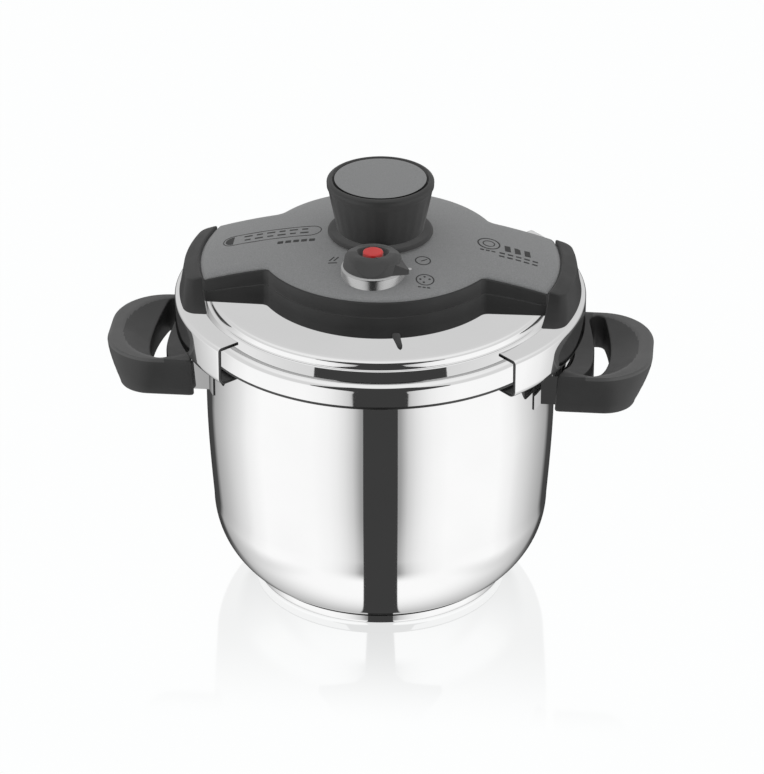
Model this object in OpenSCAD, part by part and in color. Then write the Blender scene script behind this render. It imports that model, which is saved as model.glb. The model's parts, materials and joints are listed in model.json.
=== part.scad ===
// Two-jaw pressure cooker, 22 cm class.
// Origin at the middle of the base, Z up, handles and jaws along X, selector dial towards -Y.

/* [Pot] */
// Outer radius of the pot wall at its rim
pot_r = 111; // [105:0.5:118]
// Height of the top face of the pot rim
rim_z = 178; // [150:1:210]
// Thickness of the steel sheet of pot and lid
sheet = 1.2; // [1:0.1:1.5]
// Radius of the sandwich base
base_r = 81; // [76:1:86]
// Thickness of the sandwich base
base_h = 6.5; // [4:0.5:9]
// How much narrower the wall is above its bottom corner
wall_taper = 3.5; // [0:0.1:5]
// Radius of the round bottom corner
corner_r = 58; // [45:1:62]

/* [Handles] */
// Distance from the pot wall to the outer edge of a handle
handle_reach = 62.5; // [56:0.5:70]
// Half width of a handle
handle_half = 46.5; // [40:1:50]
// Height of a handle from underside to rim
handle_h = 24; // [20:0.5:30]
// Width of the finger slot
finger_gap = 10; // [8:0.5:14]

/* [Lid and jaws] */
// Half of the angle that one jaw spans
jaw_half_angle = 45.5; // [38:0.5:50]
// Radial gap between the lid skirt and the outside of a jaw
jaw_proud = 11.6; // [10:0.2:14]
// How far each jaw travels when the lid is unlocked
jaw_travel = 10; // [8:0.5:12]
// Width of a jaw arm
arm_w = 36; // [28:1:40]

/* [Cover] */
// Radius of the round middle of the cover
disc_r = 77; // [72:1:82]
// Half width of a cover arm where it leaves the middle
cover_arm_half = 39; // [34:1:44]
// Radius of the dome that the top follows
dome_r = 360; // [300:5:450]
// Height of the dome above the lid
dome_rise = 35.2; // [32:0.2:40]
// Wall of the plastic mouldings
wall = 3; // [2.5:0.1:4]

/* [Knob and dial] */
// Radius of the knob at its top
knob_r = 33.6; // [30:0.2:36]
// Radius of the knob at its foot
knob_foot_r = 27.5; // [25:0.5:30]
// Height of the knob
knob_h = 34; // [30:0.5:38]
// Quarter turn that opens the jaws
knob_range = 90; // [80:1:100]
// Distance from the knob axis to the dial axis
dial_y = 49.5; // [48:0.5:52]
// Radius of the bezel ring round the dial
bezel_r = 19.8; // [18:0.2:21]
// How far the pressure indicator rises
indicator_travel = 4; // [3:0.5:5]

/* [Hidden] */
$fn = 96;

steel = [0.80, 0.81, 0.82];
aluminium = [0.70, 0.71, 0.72];
bakelite = [0.13, 0.13, 0.14];
satin_grey = [0.50, 0.51, 0.52];
silicone = [0.75, 0.75, 0.73];
signal_red = [0.80, 0.08, 0.08];

// Pot levels and radii
foot_r = pot_r - wall_taper;
flange_out = 5.4;
flare_r = 3;
taper_top_z = 130 / 178 * rim_z;
handle_top_z = rim_z - 13;
handle_bottom_z = handle_top_z - handle_h;
handle_out = pot_r + handle_reach;
slot_mid_r = pot_r + 30;
slot_half_angle = 15;

// Lid levels and radii
skirt_r = pot_r + 7.2;
skirt_z = rim_z - 2.4;
shoulder_z = rim_z + 13;
step_r = pot_r - 2;
lid_top_z = rim_z + 25.5;

// Jaw levels and radii
jaw_sheet = 2;
jaw_r = skirt_r + jaw_proud;
jaw_top_z = rim_z + 21;
jaw_bottom_z = rim_z - 4.5;
jaw_inner_r = pot_r + 3.3;
jaw_lip_r = pot_r + 3.6;
arm_t = 2.4;
arm_z = lid_top_z + 1.3;

// Cover levels
dome_z = lid_top_z + dome_rise;
panel_t = 3;
seam_r = 450;
seam_z = lid_top_z + 20.1;
arm_end_r = pot_r + 2.4;
cap_gap = 0.6;
cap_r = jaw_r - 3;

// Mechanism
post_r = 4;
running_fit = 0.05;
sleeve_r = 7.5;
cam_r = 40;
cam_t = 3;
cam_z = arm_z + arm_t + 1.3;
pin_r = 2.7;
pin_fit = 0.3;
pin_start = 20;
cam_rise = jaw_travel / knob_range;
collar_r = 33;
collar_z = dome_z - 5;
collar_h = 7.5;
knob_z = collar_z + collar_h + 0.4;
knob_top_z = knob_z + knob_h;
post_top_z = knob_z + 25.2;

// Dial and valve
stem_r = 3;
valve_tube_r = 6.5;
valve_seat_z = lid_top_z + 24;
bezel_top_z = dome_z + 0.3;
bezel_bottom_z = dome_z - 10;
dial_r = bezel_r - 2.8;
dial_brim_r = bezel_r - 1.2;
dial_top_z = dome_z + 11;
dial_z = bezel_bottom_z + 2;
brim_z = bezel_top_z + 0.4;
recess_r = 10;
recess_z = dial_top_z - 6.5;
spring_room_r = 9.5;
spring_top_z = recess_z - 2.5;
plunger_travel = 2;
stem_bottom_z = lid_top_z - 15.8;

// ---------- shared shapes ----------

function arc(cx, cy, r, a0, a1, n = 8) =
  [for (i = [0:n]) [cx + r * cos(a0 + (a1 - a0) * i / n), cy + r * sin(a0 + (a1 - a0) * i / n)]];

module tube(r_out, r_in, h) {
  difference() {
    cylinder(r = r_out, h = h);
    translate([0, 0, -1]) cylinder(r = r_in, h = h + 2);
  }
}

// A solid of revolution that spans only the given half angle either side of +X
module sector(half_angle) {
  rotate([0, 0, -half_angle]) rotate_extrude(angle = 2 * half_angle) children();
}

module at_side(side) {
  if (side > 0) children();
  else mirror([1, 0, 0]) children();
}

module at_dial() {
  translate([0, -dial_y, 0]) children();
}

module hex(across_flats, h) {
  cylinder(r = across_flats / sqrt(3), h = h, $fn = 6);
}

// Everything below the dome of the given radius and apex height
module under_dome(r, apex_z) {
  translate([0, 0, apex_z - r]) sphere(r = r, $fn = 200);
}

// ---------- pot ----------

// The round corner starts at the edge of the sandwich base and meets the wall tangentially
module pot_profile() {
  corner_x = foot_r - corner_r;
  corner_z = base_h + sqrt(pow(corner_r, 2) - pow(base_r - corner_x, 2));
  start = asin((corner_z - base_h) / corner_r);
  inner_r = corner_r - sheet;
  inner_start = asin((corner_z - base_h - sheet) / inner_r);
  flare_z = rim_z - sheet - flare_r;
  outer = concat(
    [[0, base_h]],
    arc(corner_x, corner_z, corner_r, -start, 0, 12),
    [[pot_r, taper_top_z]],
    arc(pot_r + flare_r, flare_z, flare_r, 180, 90, 4),
    [[pot_r + flange_out, rim_z - sheet]]
  );
  inner = concat(
    [[pot_r + flange_out, rim_z]],
    arc(pot_r + flare_r, flare_z, flare_r + sheet, 90, 180, 4),
    [[pot_r - sheet, taper_top_z]],
    arc(corner_x, corner_z, inner_r, 0, -inner_start, 12),
    [[0, base_h + sheet]]
  );
  polygon(concat(outer, inner));
}

module pot_shell() {
  color(steel) rotate_extrude() pot_profile();
}

module base_core() {
  color(aluminium) translate([0, 0, 1]) cylinder(r = base_r - 1, h = base_h - 1);
}

module base_cap() {
  edge = 2.2;
  color(steel) difference() {
    rotate_extrude() polygon(concat(
      [[0, 0]],
      arc(base_r - edge, edge, edge, -90, 0, 6),
      [[base_r, base_h], [0, base_h]]
    ));
    translate([0, 0, 1]) cylinder(r = base_r - 1, h = base_h);
  }
}

// ---------- handles ----------

bracket_t = 1.4;
bracket_half = 41;
bracket_out = pot_r + 11.5;
bracket_bottom = handle_bottom_z + 2;
bracket_top = rim_z - 5.5;
sleeve_top = handle_top_z - 2;

module handle_bracket(side) {
  color(steel) at_side(side) {
    // weld plate that follows the pot wall
    translate([0, 0, bracket_bottom]) sector(26)
      translate([pot_r, 0]) square([bracket_t, bracket_top - bracket_bottom]);
    // box sleeve that carries the handle
    difference() {
      intersection() {
        translate([pot_r - 14, -bracket_half, bracket_bottom])
          cube([bracket_out - pot_r + 14, 2 * bracket_half, sleeve_top - bracket_bottom]);
        translate([0, 0, bracket_bottom - 1]) cylinder(r = bracket_out, h = 40);
      }
      translate([pot_r - 14, -bracket_half + bracket_t, bracket_bottom + bracket_t])
        cube([40, 2 * (bracket_half - bracket_t), sleeve_top - bracket_bottom - 2 * bracket_t]);
      translate([0, 0, bracket_bottom - 1]) cylinder(r = pot_r + bracket_t / 2, h = 40);
    }
  }
}

module handle_outline(out, half) {
  nose = 34;
  polygon(concat(
    [[pot_r - 8, -half]],
    arc(out - nose, -half + nose, nose, -90, -8, 8),
    arc(out - nose, half - nose, nose, 8, 90, 8),
    [[pot_r - 8, half]]
  ));
}

module finger_slot() {
  mid = slot_mid_r;
  gap = finger_gap / 2;
  sector(slot_half_angle) translate([mid - gap, 0]) square([2 * gap, handle_h + 10]);
  for (end = [-1, 1])
    rotate([0, 0, end * slot_half_angle]) translate([mid, 0, 0]) cylinder(r = gap, h = handle_h + 10, $fn = 48);
}

module handle(side) {
  tongue_h = sleeve_top - bracket_bottom - 2 * bracket_t - 0.6;
  color(bakelite) at_side(side) {
    difference() {
      hull() {
        translate([0, 0, handle_bottom_z]) linear_extrude(0.2) handle_outline(handle_out - 10, handle_half + 0.5);
        translate([0, 0, handle_top_z - 5]) linear_extrude(5) handle_outline(handle_out, handle_half);
      }
      // root face that follows the pot wall
      translate([0, 0, handle_bottom_z - 1]) cylinder(r = bracket_out + 0.1, h = handle_h + 2);
      translate([0, 0, handle_bottom_z - 5]) finger_slot();
      // dished palm face that falls towards the slot
      translate([slot_mid_r - 6, 0, handle_top_z + 62]) sphere(r = 69, $fn = 96);
      // screw seat
      translate([pot_r + 17, 0, handle_bottom_z - 1]) cylinder(r = 4.2, h = 4);
      translate([pot_r + 17, 0, handle_bottom_z]) cylinder(r = 2.2, h = 10);
    }
    // tongue that fills the bracket sleeve
    difference() {
      translate([pot_r - 9, -bracket_half + bracket_t + 0.3, bracket_bottom + bracket_t + 0.3])
        cube([bracket_out - pot_r + 9.2, 2 * (bracket_half - bracket_t - 0.3), tongue_h]);
      translate([0, 0, bracket_bottom]) cylinder(r = pot_r + 2.4, h = 40);
    }
  }
}

module handle_screw(side) {
  color(steel) at_side(side) translate([pot_r + 17, 0, handle_bottom_z + 0.6]) difference() {
    union() {
      cylinder(r = 3.9, h = 2.2);
      cylinder(r = 2.1, h = 9);
    }
    for (turn = [0, 90])
      rotate([0, 0, turn]) translate([-2.4, -0.4, -1]) cube([4.8, 0.8, 2]);
  }
}

// ---------- lid ----------

module lid_profile() {
  outer = concat(
    [[skirt_r, skirt_z]],
    arc(skirt_r - 4, shoulder_z - 4, 4, 0, 80, 6),
    [[pot_r + 0.8, shoulder_z + 1.6], [pot_r - 0.2, shoulder_z + 2.6]],
    [[pot_r - 0.4, lid_top_z - 6.4], [pot_r - 1.4, lid_top_z - 5.5]],
    [[step_r, lid_top_z - 4]],
    arc(step_r - 2, lid_top_z - 4, 2, 0, 85, 5),
    [[disc_r, lid_top_z], [0, lid_top_z]]
  );
  inner = concat(
    [[0, lid_top_z - sheet], [disc_r, lid_top_z - sheet]],
    arc(step_r - 2, lid_top_z - 4, 2 - sheet, 85, 0, 5),
    [[step_r - sheet, lid_top_z - 4.8], [pot_r - 1.4 - sheet, lid_top_z - 6.2]],
    [[pot_r - 0.4 - sheet, lid_top_z - 7]],
    [[pot_r - 0.2 - sheet, shoulder_z + 1.8], [pot_r + 0.8 - sheet / 2, shoulder_z + 0.5]],
    arc(skirt_r - 4, shoulder_z - 4, 4 - sheet, 80, 0, 6),
    [[skirt_r - sheet, skirt_z]]
  );
  polygon(concat(outer, inner));
}

module lid_shell() {
  color(steel) difference() {
    rotate_extrude() lid_profile();
    at_dial() translate([0, 0, lid_top_z - 5]) cylinder(r = valve_tube_r, h = 10);
    translate([0, dial_y, lid_top_z - 5]) cylinder(r = 5, h = 10);
    for (p = screw_spots)
      translate([p[0], p[1], lid_top_z - 5]) cylinder(r = 2, h = 10, $fn = 32);
  }
}

module lid_gasket() {
  color(silicone) rotate_extrude() polygon([
    [pot_r - 6, rim_z + 0.3], [skirt_r - sheet - 0.3, rim_z + 0.3],
    [skirt_r - sheet - 0.3, shoulder_z - 4.5], [skirt_r - sheet - 3, shoulder_z - 1.7],
    [pot_r + 0.5, shoulder_z - 1.7], [pot_r - 1, shoulder_z - 4],
    [pot_r - 1, rim_z + 4], [pot_r - 6, rim_z + 1.6]
  ]);
}

screw_spots = [for (sx = [-1, 1]) for (sy = [-1, 1]) [sx * 44, sy * 44]];

module center_post() {
  color(steel) translate([0, 0, lid_top_z]) {
    cylinder(r = 12, h = arm_t);
    cylinder(r = post_r, h = post_top_z - lid_top_z);
  }
}

module post_nut() {
  nut_t = 4;
  color(steel) translate([0, 0, post_top_z - nut_t - 0.8]) difference() {
    union() {
      cylinder(r = 8, h = 1);
      translate([0, 0, 1]) hex(10.5, nut_t - 1);
    }
    translate([0, 0, -1]) cylinder(r = post_r, h = nut_t + 2);
  }
}

// Four rails that the jaw arms slide between, each with a lip over the arm
module arm_guides() {
  rail_x = cam_r + 5;
  rail_l = 56;
  side_gap = 0.4;
  lip = 3;
  over_z = arm_z + arm_t + side_gap;
  color(steel) for (sx = [-1, 1]) for (sy = [-1, 1])
    at_side(sx) mirror([0, sy < 0 ? 1 : 0, 0]) {
      translate([rail_x, arm_w / 2 + side_gap, lid_top_z]) cube([rail_l, 3, over_z + 1.2 - lid_top_z]);
      translate([rail_x, arm_w / 2 - lip, over_z]) cube([rail_l, lip + side_gap + 0.5, 1.2]);
    }
}

module cover_screws() {
  color(steel) for (p = screw_spots) translate([p[0], p[1], lid_top_z - sheet]) {
    translate([0, 0, -2]) cylinder(r = 4, h = 2, $fn = 48);
    cylinder(r = 1.9, h = 12, $fn = 32);
  }
}

// ---------- cover ----------

module cover_outline(inset = 0, reach = arm_end_r) {
  tip_half = cover_arm_half - 2.6;
  half = cover_arm_half - inset;
  intersection() {
    circle(r = reach, $fn = 180);
    union() {
      circle(r = disc_r - inset, $fn = 180);
      for (sx = [-1, 1])
        polygon([
          [0, -half], [sx * arm_end_r, -tip_half + inset],
          [sx * (arm_end_r + 10), -tip_half + inset], [sx * (arm_end_r + 10), tip_half - inset],
          [sx * arm_end_r, tip_half - inset], [0, half]
        ]);
    }
  }
}

module dial_hole(r) {
  at_dial() translate([0, 0, lid_top_z]) cylinder(r = r, h = dome_rise + 20);
}

module screw_boss(h) {
  for (p = screw_spots) translate([p[0], p[1], lid_top_z]) difference() {
    cylinder(r = 5, h = h, $fn = 48);
    translate([0, 0, -1]) cylinder(r = 1.9, h = 14, $fn = 32);
  }
}

module cover_base() {
  color(bakelite) {
    difference() {
      intersection() {
        translate([0, 0, lid_top_z]) linear_extrude(40) cover_outline();
        under_dome(seam_r, seam_z);
      }
      translate([0, 0, lid_top_z - 1]) linear_extrude(60) cover_outline(wall, arm_end_r + 5);
    }
    screw_boss(12);
  }
}

module cover_upper() {
  color(bakelite) difference() {
    intersection() {
      translate([0, 0, lid_top_z]) linear_extrude(60) cover_outline();
      under_dome(dome_r - panel_t, dome_z - panel_t);
    }
    under_dome(seam_r, seam_z + 0.2);
    intersection() {
      translate([0, 0, lid_top_z - 1]) linear_extrude(80) cover_outline(wall, arm_end_r + 5);
      under_dome(dome_r - panel_t - wall, dome_z - panel_t - wall);
    }
    dial_hole(bezel_r);
    cylinder(r = sleeve_r + 1, h = 300);
  }
}

module top_panel() {
  color(satin_grey) difference() {
    intersection() {
      translate([0, 0, lid_top_z]) linear_extrude(60) cover_outline(0.3);
      under_dome(dome_r, dome_z);
    }
    under_dome(dome_r - panel_t, dome_z - panel_t);
    dial_hole(bezel_r);
    cylinder(r = sleeve_r + 1, h = 300);
  }
}

module knob_collar() {
  edge = 3.5;
  color(bakelite) difference() {
    translate([0, 0, collar_z]) rotate_extrude() polygon(concat(
      [[sleeve_r + 2, 0], [collar_r - 3, 0]],
      [[collar_r, 2.6]],
      arc(collar_r - edge, collar_h - edge, edge, 0, 90, 6),
      [[sleeve_r + 2, collar_h]]
    ));
    under_dome(dome_r, dome_z);
    at_dial() cylinder(r = bezel_r + 0.2, h = 300);
  }
}

module steam_spout() {
  color(bakelite) difference() {
    translate([16.5, -disc_r + 1.5, lid_top_z + 0.1]) rotate([0, 0, -75]) {
      translate([-4, -3, 0]) cube([4, 6, 3.6]);
      linear_extrude(3.2) polygon([[0, -2.6], [15, -1.5], [16.4, 0], [15, 1.5], [0, 2.6]]);
    }
    cylinder(r = disc_r + 0.02, h = 300, $fn = 180);
  }
}

// ---------- valves on the lid ----------

module valve_body() {
  color(steel) at_dial() difference() {
    union() {
      translate([0, 0, lid_top_z]) cylinder(r = 10, h = 3);
      translate([0, 0, lid_top_z - 10]) cylinder(r = valve_tube_r, h = valve_seat_z - lid_top_z + 10);
    }
    translate([0, 0, lid_top_z - 12]) cylinder(r = stem_r + running_fit, h = 60);
  }
}

module valve_nut() {
  color(steel) at_dial() translate([0, 0, lid_top_z - sheet - 6]) difference() {
    hex(18, 6);
    translate([0, 0, -1]) cylinder(r = valve_tube_r, h = 8);
  }
}

module valve_bezel() {
  color(steel) at_dial() translate([0, 0, bezel_bottom_z])
    tube(bezel_r, dial_r + 0.4, bezel_top_z - bezel_bottom_z);
}

module safety_valve() {
  color(steel) translate([0, dial_y, 0]) difference() {
    union() {
      translate([0, 0, lid_top_z]) hex(15, 8);
      translate([0, 0, lid_top_z - 8]) cylinder(r = 5, h = 10);
    }
    translate([0, 0, lid_top_z - 9]) cylinder(r = 2.5, h = 30);
  }
}

module safety_valve_nut() {
  color(steel) translate([0, dial_y, lid_top_z - sheet - 5]) difference() {
    hex(15, 5);
    translate([0, 0, -1]) cylinder(r = 5, h = 7);
  }
}

module safety_valve_plug() {
  color(silicone) translate([0, dial_y, lid_top_z - 8]) {
    cylinder(r = 2.5, h = 14);
    translate([0, 0, -3]) cylinder(r1 = 3, r2 = 4.2, h = 3);
  }
}

// ---------- knob ----------

module knob_shell() {
  rim = 3.2;
  lip = 2.2;
  color(bakelite) translate([0, 0, knob_z]) difference() {
    rotate_extrude() polygon(concat(
      [[sleeve_r, 0], [knob_foot_r - 1, 0], [knob_foot_r, 1]],
      arc(knob_r - lip, knob_h - lip, lip, 0, 90, 5),
      [[knob_r - rim, knob_h], [knob_r - rim, knob_h - 4.5]],
      [[sleeve_r + 4.5, knob_h - 4.5], [sleeve_r + 4.5, knob_h - 14], [sleeve_r, knob_h - 14]]
    ));
    // hollow underside
    rotate_extrude() polygon([
      [sleeve_r + 4, -1], [knob_foot_r - 4, -1], [knob_r - 5.5, knob_h - 9], [sleeve_r + 7.5, knob_h - 9],
      [sleeve_r + 4, knob_h - 17]
    ]);
    for (side = [0, 180]) rotate([0, 0, side]) translate([sleeve_r - 1, 0, 6]) rotate([0, 90, 0])
      cylinder(r = 1.6, h = 5, $fn = 32);
  }
}

module knob_cap() {
  color(satin_grey) translate([0, 0, knob_top_z - 4.4]) intersection() {
    cylinder(r = knob_r - 4.2, h = 8);
    translate([0, 0, 5 - 500]) sphere(r = 500, $fn = 200);
  }
}

module knob_sleeve() {
  foot = cam_z;
  color(steel) translate([0, 0, foot]) difference() {
    cylinder(r = sleeve_r, h = knob_z + knob_h - 14.2 - foot);
    translate([0, 0, -1]) cylinder(r = post_r + running_fit, h = 80);
  }
}

module knob_screws() {
  color(steel) for (side = [0, 180]) rotate([0, 0, side])
    translate([sleeve_r, 0, knob_z + 6]) rotate([0, 90, 0]) cylinder(r = 1.6, h = 3.4, $fn = 32);
}

// Centreline of a cam slot: the radius grows evenly while the disc turns
function cam_radius(turn) = pin_start + cam_rise * turn;

module cam_slot() {
  steps = 18;
  over = 3;
  half = pin_r + pin_fit;
  turns = [for (i = [0:steps]) -over + (knob_range + 2 * over) * i / steps];
  inner = [for (t = turns) (cam_radius(t) - half) * [cos(-t), sin(-t)]];
  outer = [for (i = [steps:-1:0]) (cam_radius(turns[i]) + half) * [cos(-turns[i]), sin(-turns[i])]];
  linear_extrude(cam_t + 2) polygon(concat(inner, outer));
  for (t = [-over, knob_range + over])
    rotate([0, 0, -t]) translate([cam_radius(t), 0, 0]) cylinder(r = half, h = cam_t + 2, $fn = 48);
}

module cam_disc() {
  color(steel) translate([0, 0, cam_z]) difference() {
    cylinder(r = cam_r, h = cam_t);
    translate([0, 0, -1]) cylinder(r = sleeve_r, h = cam_t + 2);
    for (side = [0, 180]) rotate([0, 0, side]) translate([0, 0, -1]) cam_slot();
  }
}

// ---------- jaws ----------

module jaw_profile() {
  bend = 5;
  lip_top = jaw_bottom_z + 1.8;
  polygon(concat(
    [[jaw_lip_r, jaw_bottom_z], [jaw_r - bend, jaw_bottom_z]],
    arc(jaw_r - bend, jaw_bottom_z + bend, bend, -90, 0, 6),
    arc(jaw_r - 2.5, jaw_top_z - 2.5, 2.5, 0, 90, 4),
    [[jaw_inner_r, jaw_top_z], [jaw_inner_r, jaw_top_z - jaw_sheet]],
    [[jaw_r - jaw_sheet, jaw_top_z - jaw_sheet]],
    arc(jaw_r - bend, jaw_bottom_z + bend, bend - jaw_sheet + 0.2, 0, -90, 6),
    [[jaw_lip_r, lip_top]]
  ));
}

module jaw(side) {
  color(steel) at_side(side) difference() {
    sector(jaw_half_angle) jaw_profile();
    for (y = [-12, 0, 12])
      translate([jaw_inner_r + 5, y, jaw_top_z - 4]) cylinder(r = 2, h = 8, $fn = 32);
  }
}

module jaw_arm(side) {
  foot_x = jaw_inner_r + 9;
  bend_x = pot_r + 0.4;
  color(steel) at_side(side) difference() {
    translate([0, arm_w / 2, 0]) rotate([90, 0, 0]) linear_extrude(arm_w) polygon([
      [15, arm_z], [bend_x, arm_z], [jaw_inner_r + 0.6, jaw_top_z], [foot_x, jaw_top_z],
      [foot_x, jaw_top_z + arm_t], [jaw_inner_r + 1.8, jaw_top_z + arm_t],
      [bend_x + 1.2, arm_z + arm_t], [15, arm_z + arm_t]
    ]);
    for (y = [-12, 0, 12])
      translate([jaw_inner_r + 5, y, jaw_top_z - 4]) cylinder(r = 2, h = 12, $fn = 32);
    translate([pin_start, 0, arm_z - 1]) cylinder(r = pin_r, h = 10);
  }
}

module jaw_rivets(side) {
  color(steel) at_side(side) for (y = [-12, 0, 12]) translate([jaw_inner_r + 5, y, 0]) {
    translate([0, 0, jaw_top_z - jaw_sheet]) cylinder(r = 2, h = jaw_sheet + arm_t, $fn = 32);
    translate([0, 0, jaw_top_z + arm_t]) cylinder(r1 = 3.6, r2 = 2.2, h = 1.3, $fn = 32);
    translate([0, 0, jaw_top_z - jaw_sheet - 1.3]) cylinder(r1 = 2.2, r2 = 3.6, h = 1.3, $fn = 32);
  }
}

module cam_pin(side) {
  color(steel) at_side(side) translate([pin_start, 0, arm_z])
    cylinder(r = pin_r, h = cam_z + cam_t - 0.2 - arm_z);
}

module jaw_cap(side) {
  skirt_half = 47;
  top_half = 37;
  color(bakelite) at_side(side) difference() {
    intersection() {
      hull() {
        translate([80, -skirt_half, jaw_top_z + 0.05]) cube([60, 2 * skirt_half, 1]);
        translate([80, -top_half, dome_z - 18]) cube([60, 2 * top_half, 1]);
      }
      translate([0, 0, jaw_top_z + 0.05]) cylinder(r1 = cap_r, r2 = cap_r - 4, h = 30);
      under_dome(dome_r, dome_z);
    }
    cylinder(r = arm_end_r + cap_gap, h = 300, $fn = 180);
    // room for the arm foot and its rivets
    translate([100, -arm_w / 2 - 0.4, jaw_top_z - 1]) cube([jaw_inner_r - 90.4, arm_w + 0.8, arm_t + 5.8]);
  }
}

// ---------- dial, indicator and plunger ----------

// Round body with a flat that slopes down at the front
module dial_body() {
  edge = 4.2;
  shoulder_r = dial_r + 0.3;
  front_y = -recess_r - 1.2;
  front_slope = 53;
  at_dial() difference() {
    rotate_extrude() polygon(concat(
      [[0, dial_z], [dial_r, dial_z], [dial_r, brim_z], [dial_brim_r, brim_z]],
      arc(shoulder_r - edge, dial_top_z - edge, edge, 5, 90, 6),
      [[0, dial_top_z]]
    ));
    translate([0, front_y, dial_top_z]) rotate([front_slope, 0, 0])
      translate([-50, -50, 0]) cube([100, 60, 30]);
  }
}

module dial() {
  color(bakelite) difference() {
    dial_body();
    // indicator window
    at_dial() translate([0, 0, recess_z]) cylinder(r = recess_r, h = 20);
    at_dial() translate([0, 0, dial_z - 1]) cylinder(r = stem_r + 0.8, h = 40);
    // room for the spring and plunger
    at_dial() translate([0, 0, dial_z - 1]) cylinder(r = spring_room_r, h = spring_top_z - dial_z + 1);
  }
}

// Raised wing that shows the setting; its ridge falls from the window to the tip
module dial_pointer() {
  tip_x = bezel_r + 3.2;
  ridge_y = -recess_r - 0.4;
  ridge_fall = 22.5;
  front_fall = 60;
  color(bakelite) difference() {
    at_dial() translate([0, 0, brim_z + 0.1]) linear_extrude(dial_top_z - brim_z) polygon([
      [2.5, -dial_brim_r], [tip_x - 2, -12], [tip_x, -10], [tip_x + 0.2, -8.6],
      [dial_r, 1.5], [8, 0], [2.5, ridge_y + 1]
    ]);
    dial_body();
    at_dial() cylinder(r = recess_r, h = 300);
    at_dial() rotate([0, 0, 3]) translate([2.4, ridge_y, dial_top_z]) rotate([0, ridge_fall, 0]) {
      translate([-20, -30, 0]) cube([80, 60, 40]);
      rotate([front_fall, 0, 0]) translate([-20, -60, 0]) cube([80, 60, 40]);
    }
  }
}

module indicator_stem() {
  color(steel) at_dial() {
    translate([0, 0, stem_bottom_z]) cylinder(r = stem_r, h = recess_z + 0.6 - stem_bottom_z);
    translate([0, 0, stem_bottom_z - 2]) cylinder(r = 4.6, h = 2);
  }
}

module indicator_cap() {
  color(signal_red) at_dial() translate([0, 0, recess_z + 0.6]) {
    cylinder(r = 6.3, h = 4.7);
    translate([0, 0, 4.7]) cylinder(r1 = 6.3, r2 = 5.5, h = 0.8);
  }
}

module indicator_seal() {
  color(silicone) at_dial() translate([0, 0, stem_bottom_z])
    rotate_extrude() translate([stem_r + 0.7, 0.7]) circle(r = 0.7, $fn = 24);
}

module valve_plunger() {
  color(steel) at_dial() translate([0, 0, valve_seat_z]) difference() {
    union() {
      cylinder(r1 = 5.5, r2 = 8, h = 2);
      translate([0, 0, 2]) cylinder(r = 5, h = 2);
    }
    translate([0, 0, -1]) cylinder(r = stem_r + 0.4, h = 8);
  }
}

// Closed wire of a coil spring, swept along a helix with flat ends
module coil(r, wire, h, turns) {
  sides = 8;
  per_turn = 14;
  n = turns * per_turn;
  function helix(i) = [r * cos(360 * i / per_turn), r * sin(360 * i / per_turn), h * i / n];
  points = [for (i = [0:n]) for (k = [0:sides - 1])
    let (c = helix(i), a = 360 * i / per_turn, b = 360 * k / sides)
      [c[0] + wire * cos(b) * cos(a), c[1] + wire * cos(b) * sin(a), c[2] + wire * sin(b)]];
  walls = [for (i = [0:n - 1]) for (k = [0:sides - 1])
    let (k2 = (k + 1) % sides)
      [i * sides + k, i * sides + k2, (i + 1) * sides + k2, (i + 1) * sides + k]];
  polyhedron(
    points,
    concat([[for (k = [sides - 1:-1:0]) k]], walls, [[for (k = [0:sides - 1]) n * sides + k]]),
    convexity = 10
  );
}

module valve_spring() {
  wire = 0.5;
  foot = valve_seat_z + 2 + wire;
  top = spring_top_z - wire;
  color(steel) at_dial() translate([0, 0, foot]) coil(6.6, wire, top - foot, 4);
}

// ---------- assembly ----------

pot_shell();
base_core();
base_cap();
handle_bracket(-1);  // handle_bracket_left
handle_bracket(1);  // handle_bracket_right
handle(-1);  // handle_left
handle(1);  // handle_right
handle_screw(-1);  // handle_screw_left
handle_screw(1);  // handle_screw_right
lid_shell();
lid_gasket();
center_post();
post_nut();
arm_guides();
cover_screws();
cover_base();
cover_upper();
top_panel();
knob_collar();
steam_spout();
valve_body();
valve_nut();
valve_bezel();
safety_valve();
safety_valve_nut();
safety_valve_plug();
knob_shell();
knob_cap();
knob_sleeve();
knob_screws();
cam_disc();
jaw(-1);  // jaw_left
jaw_arm(-1);  // jaw_arm_left
jaw_rivets(-1);  // jaw_rivets_left
cam_pin(-1);  // cam_pin_left
jaw_cap(-1);  // jaw_cap_left
jaw(1);  // jaw_right
jaw_arm(1);  // jaw_arm_right
jaw_rivets(1);  // jaw_rivets_right
cam_pin(1);  // cam_pin_right
jaw_cap(1);  // jaw_cap_right
dial();
dial_pointer();
indicator_stem();
indicator_cap();
indicator_seal();
valve_plunger();
valve_spring();
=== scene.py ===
"""Looks of a two-jaw stovetop pressure cooker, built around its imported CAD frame."""
import json
import math

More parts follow.
